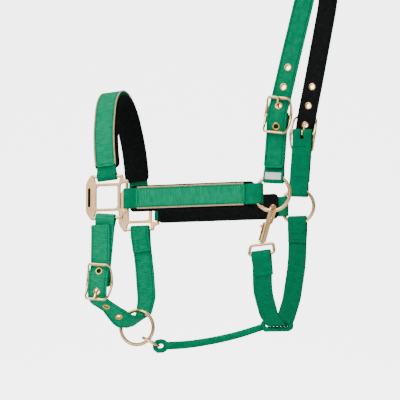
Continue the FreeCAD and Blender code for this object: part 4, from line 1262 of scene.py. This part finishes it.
link_left = np.array([-240.6, 0, -477.7])
link_right = np.array([-220.4, 0, -488.3])
link_half = 7.5
link_corners = []
for point, way in ((link_left, 1), (link_left, -1), (link_right, -1), (link_right, 1)):
    link_corners.append((*(point + np.array([0, way * link_half, 0])), link_half * 0.98))
link_line = even(rounded(link_corners, 0.5, closed=True), 0.6)
made = tube_mesh("chin_link_wire", link_line, 1.6, mat_metal, sides=24, closed=True)
finish_mesh(made, "chin_link", ["chin_link"])

# ---------------------------------------------------------------- throat rope

ROPE_WIDE = 9
rope_points = [(-212.5, 0, -488.4), (-190, 0, -488.3), (-162, -0.4, -485.2),
               (-133, -1.4, -480.4), (-106, -3.9, -474.3), (-84.5, -7.4, -468.2)]


def spline_line(name, points):
    """Points along a NURBS curve through the rope's route, read back from Blender."""
    curve = bpy.data.curves.new(name, "CURVE")
    curve.dimensions = "3D"
    curve.resolution_u = 24
    spline = curve.splines.new("NURBS")
    spline.points.add(len(points) - 1)
    for spot, point in zip(spline.points, points):
        spot.co = (*(Vector(point) * MM), 1)
    spline.order_u = 3
    spline.use_endpoint_u = True
    holder = placed(name, curve)
    mesh = evaluated_mesh(holder)
    line = np.array([v.co for v in mesh.vertices], float) / MM
    bpy.data.meshes.remove(mesh)
    bpy.data.objects.remove(holder)
    return line


def braid(name, line, wide, lay, strands=16, closed=False):
    """A round plait: half the strands wind each way and pass over and under the others."""
    line = even(line, 0.5)
    if closed:
        lay = lengths_of(line)[-1] / max(1, round(lengths_of(line)[-1] / lay))
    spine = Strap(line, np.array([0, 1.0, 0.02]), step=0.5)
    wide = np.broadcast_to(np.asarray(wide, float), (2,))
    thick = wide.mean() * 1.95 / strands
    s = np.linspace(0, spine.length, int(spine.length / 0.5) + 1)
    size = np.interp(s, [0, spine.length], wide) / 2
    core = tube_mesh(name + "_core", spine.spots(s, 0, 0), size - thick * 0.95, mat_rope, sides=20)
    parts = [core]
    for k in range(strands):
        way = 1 if k % 2 else -1
        phase = 4 * math.pi * (k // 2) / strands + (2 * math.pi / strands if way > 0 else 0)
        angle = way * 2 * math.pi * s / lay + phase
        weave = way * np.sin(strands / 4 * (2 * 2 * math.pi * s / lay) + strands / 4 * phase)
        reach = size - thick * 0.75 + thick * 0.22 * weave
        strand = spine.spots(s, reach * np.cos(angle), reach * np.sin(angle))
        parts.append(tube_mesh(f"{name}_strand_{k}", strand, thick, mat_rope, sides=8))
    return joined(name, parts)


rope_line = spline_line("rope_route", rope_points)
rope = braid("throat_cord", rope_line, (ROPE_WIDE + 0.6, ROPE_WIDE - 1.2), 26)


def eye_line(left, right, open_half, strand):
    off = open_half + strand / 2
    left = np.array(left, float)
    right = np.array(right, float)
    way = unit(right - left)
    up = np.array([-way[2], 0, way[0]])
    corners = [left - way * off - up * off, right + way * off - up * off,
               right + way * off + up * off, left - way * off + up * off]
    return rounded([(*c, off * 0.97) for c in corners], 0.5, closed=True)


STRAND = 6
front = braid("throat_cord_front_eye", eye_line((-219.3, 0, -488.8), (-216.5, 0, -488.6), 2.6,
                                                STRAND), STRAND, 14, 12, True)
strap_low = np.array([-64.5, -8, -466.1])
rear = braid("throat_cord_rear_eye", eye_line(strap_low - [13.2, 0, 0], strap_low + [13.2, 0, 0],
                                              1.7, STRAND), STRAND, 14, 12, True)
finish_mesh(rope, "headstall", ["throat_rope"])
for piece in (front, rear):
    finish_mesh(piece, "headstall")

# ---------------------------------------------------------------- snap

for name in ("snap_body", "snap_bolt", "snap_swivel_eye"):
    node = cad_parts[name]
    node.data.materials.clear()
    node.data.materials.append(mat_metal)

# ---------------------------------------------------------------- stage and light

FLOOR_Z = -0.75
PALE = (0.9, 0.9, 0.9, 1)
floor_mesh = bpy.data.meshes.new("floor")
work = bmesh.new()
bmesh.ops.create_circle(work, cap_ends=True, segments=96, radius=9)
work.to_mesh(floor_mesh)
work.free()
floor = placed("floor", floor_mesh)
floor.location = (TARGET.x, TARGET.y, FLOOR_Z)
floor_mesh.materials.append(base_material("pale_floor", 0.9, Base_Color=PALE)[0])

backdrop_mesh = bpy.data.meshes.new("backdrop")
card = 1.6
backdrop_mesh.from_pydata([(-card, -card, 0), (card, -card, 0), (card, card, 0),
                           (-card, card, 0)], [], [(0, 1, 2, 3)])
backdrop_mesh.materials.append(
    base_material("lit_backdrop", 0.5, Base_Color=PALE, Emission_Color=(1, 1, 1, 1),
                  Emission_Strength=4)[0])
backdrop = placed("backdrop", backdrop_mesh)
backdrop.location = TARGET - view_from * 6.5
backdrop.rotation_euler = view_from.to_track_quat("Z", "Y").to_euler()

# soft light from all round, stronger from above
world = bpy.data.worlds.new("studio")
bpy.context.scene.world = world
world.use_nodes = True
tree = world.node_tree
background = tree.nodes["Background"]
way = wire(tree, "ShaderNodeSeparateXYZ",
           [(0, wire(tree, "ShaderNodeTexCoord").outputs["Generated"])])
lift = wire(tree, "ShaderNodeMapRange", [("Value", way.outputs[2]), ("From Min", -0.5),
                                         ("From Max", 0.9), ("To Min", 0.06),
                                         ("To Max", 0.8)]).outputs[0]
tree.links.new(lift, background.inputs["Strength"])
background.inputs["Color"].default_value = (1, 1, 1, 1)


def softbox(name, direction, distance, size, power):
    """A square area light that faces the object."""
    data = bpy.data.lights.new(name, "AREA")
    data.shape = "SQUARE"
    data.size = size
    data.energy = power
    light = placed(name, data)
    toward = Vector(direction).normalized()
    light.location = TARGET + toward * distance
    light.rotation_euler = toward.to_track_quat("Z", "Y").to_euler()


softbox("key", (-0.45, -1.0, 1.1), 2.2, 1.7, 44)
# the fill stands a little above where the squares mirror it towards the camera
softbox("fill", (-view_from.x, view_from.y, 0.25 - view_from.z), 2.4, 1.6, 11)
softbox("top", (0.1, 0.5, 1.0), 2.2, 1.3, 12)
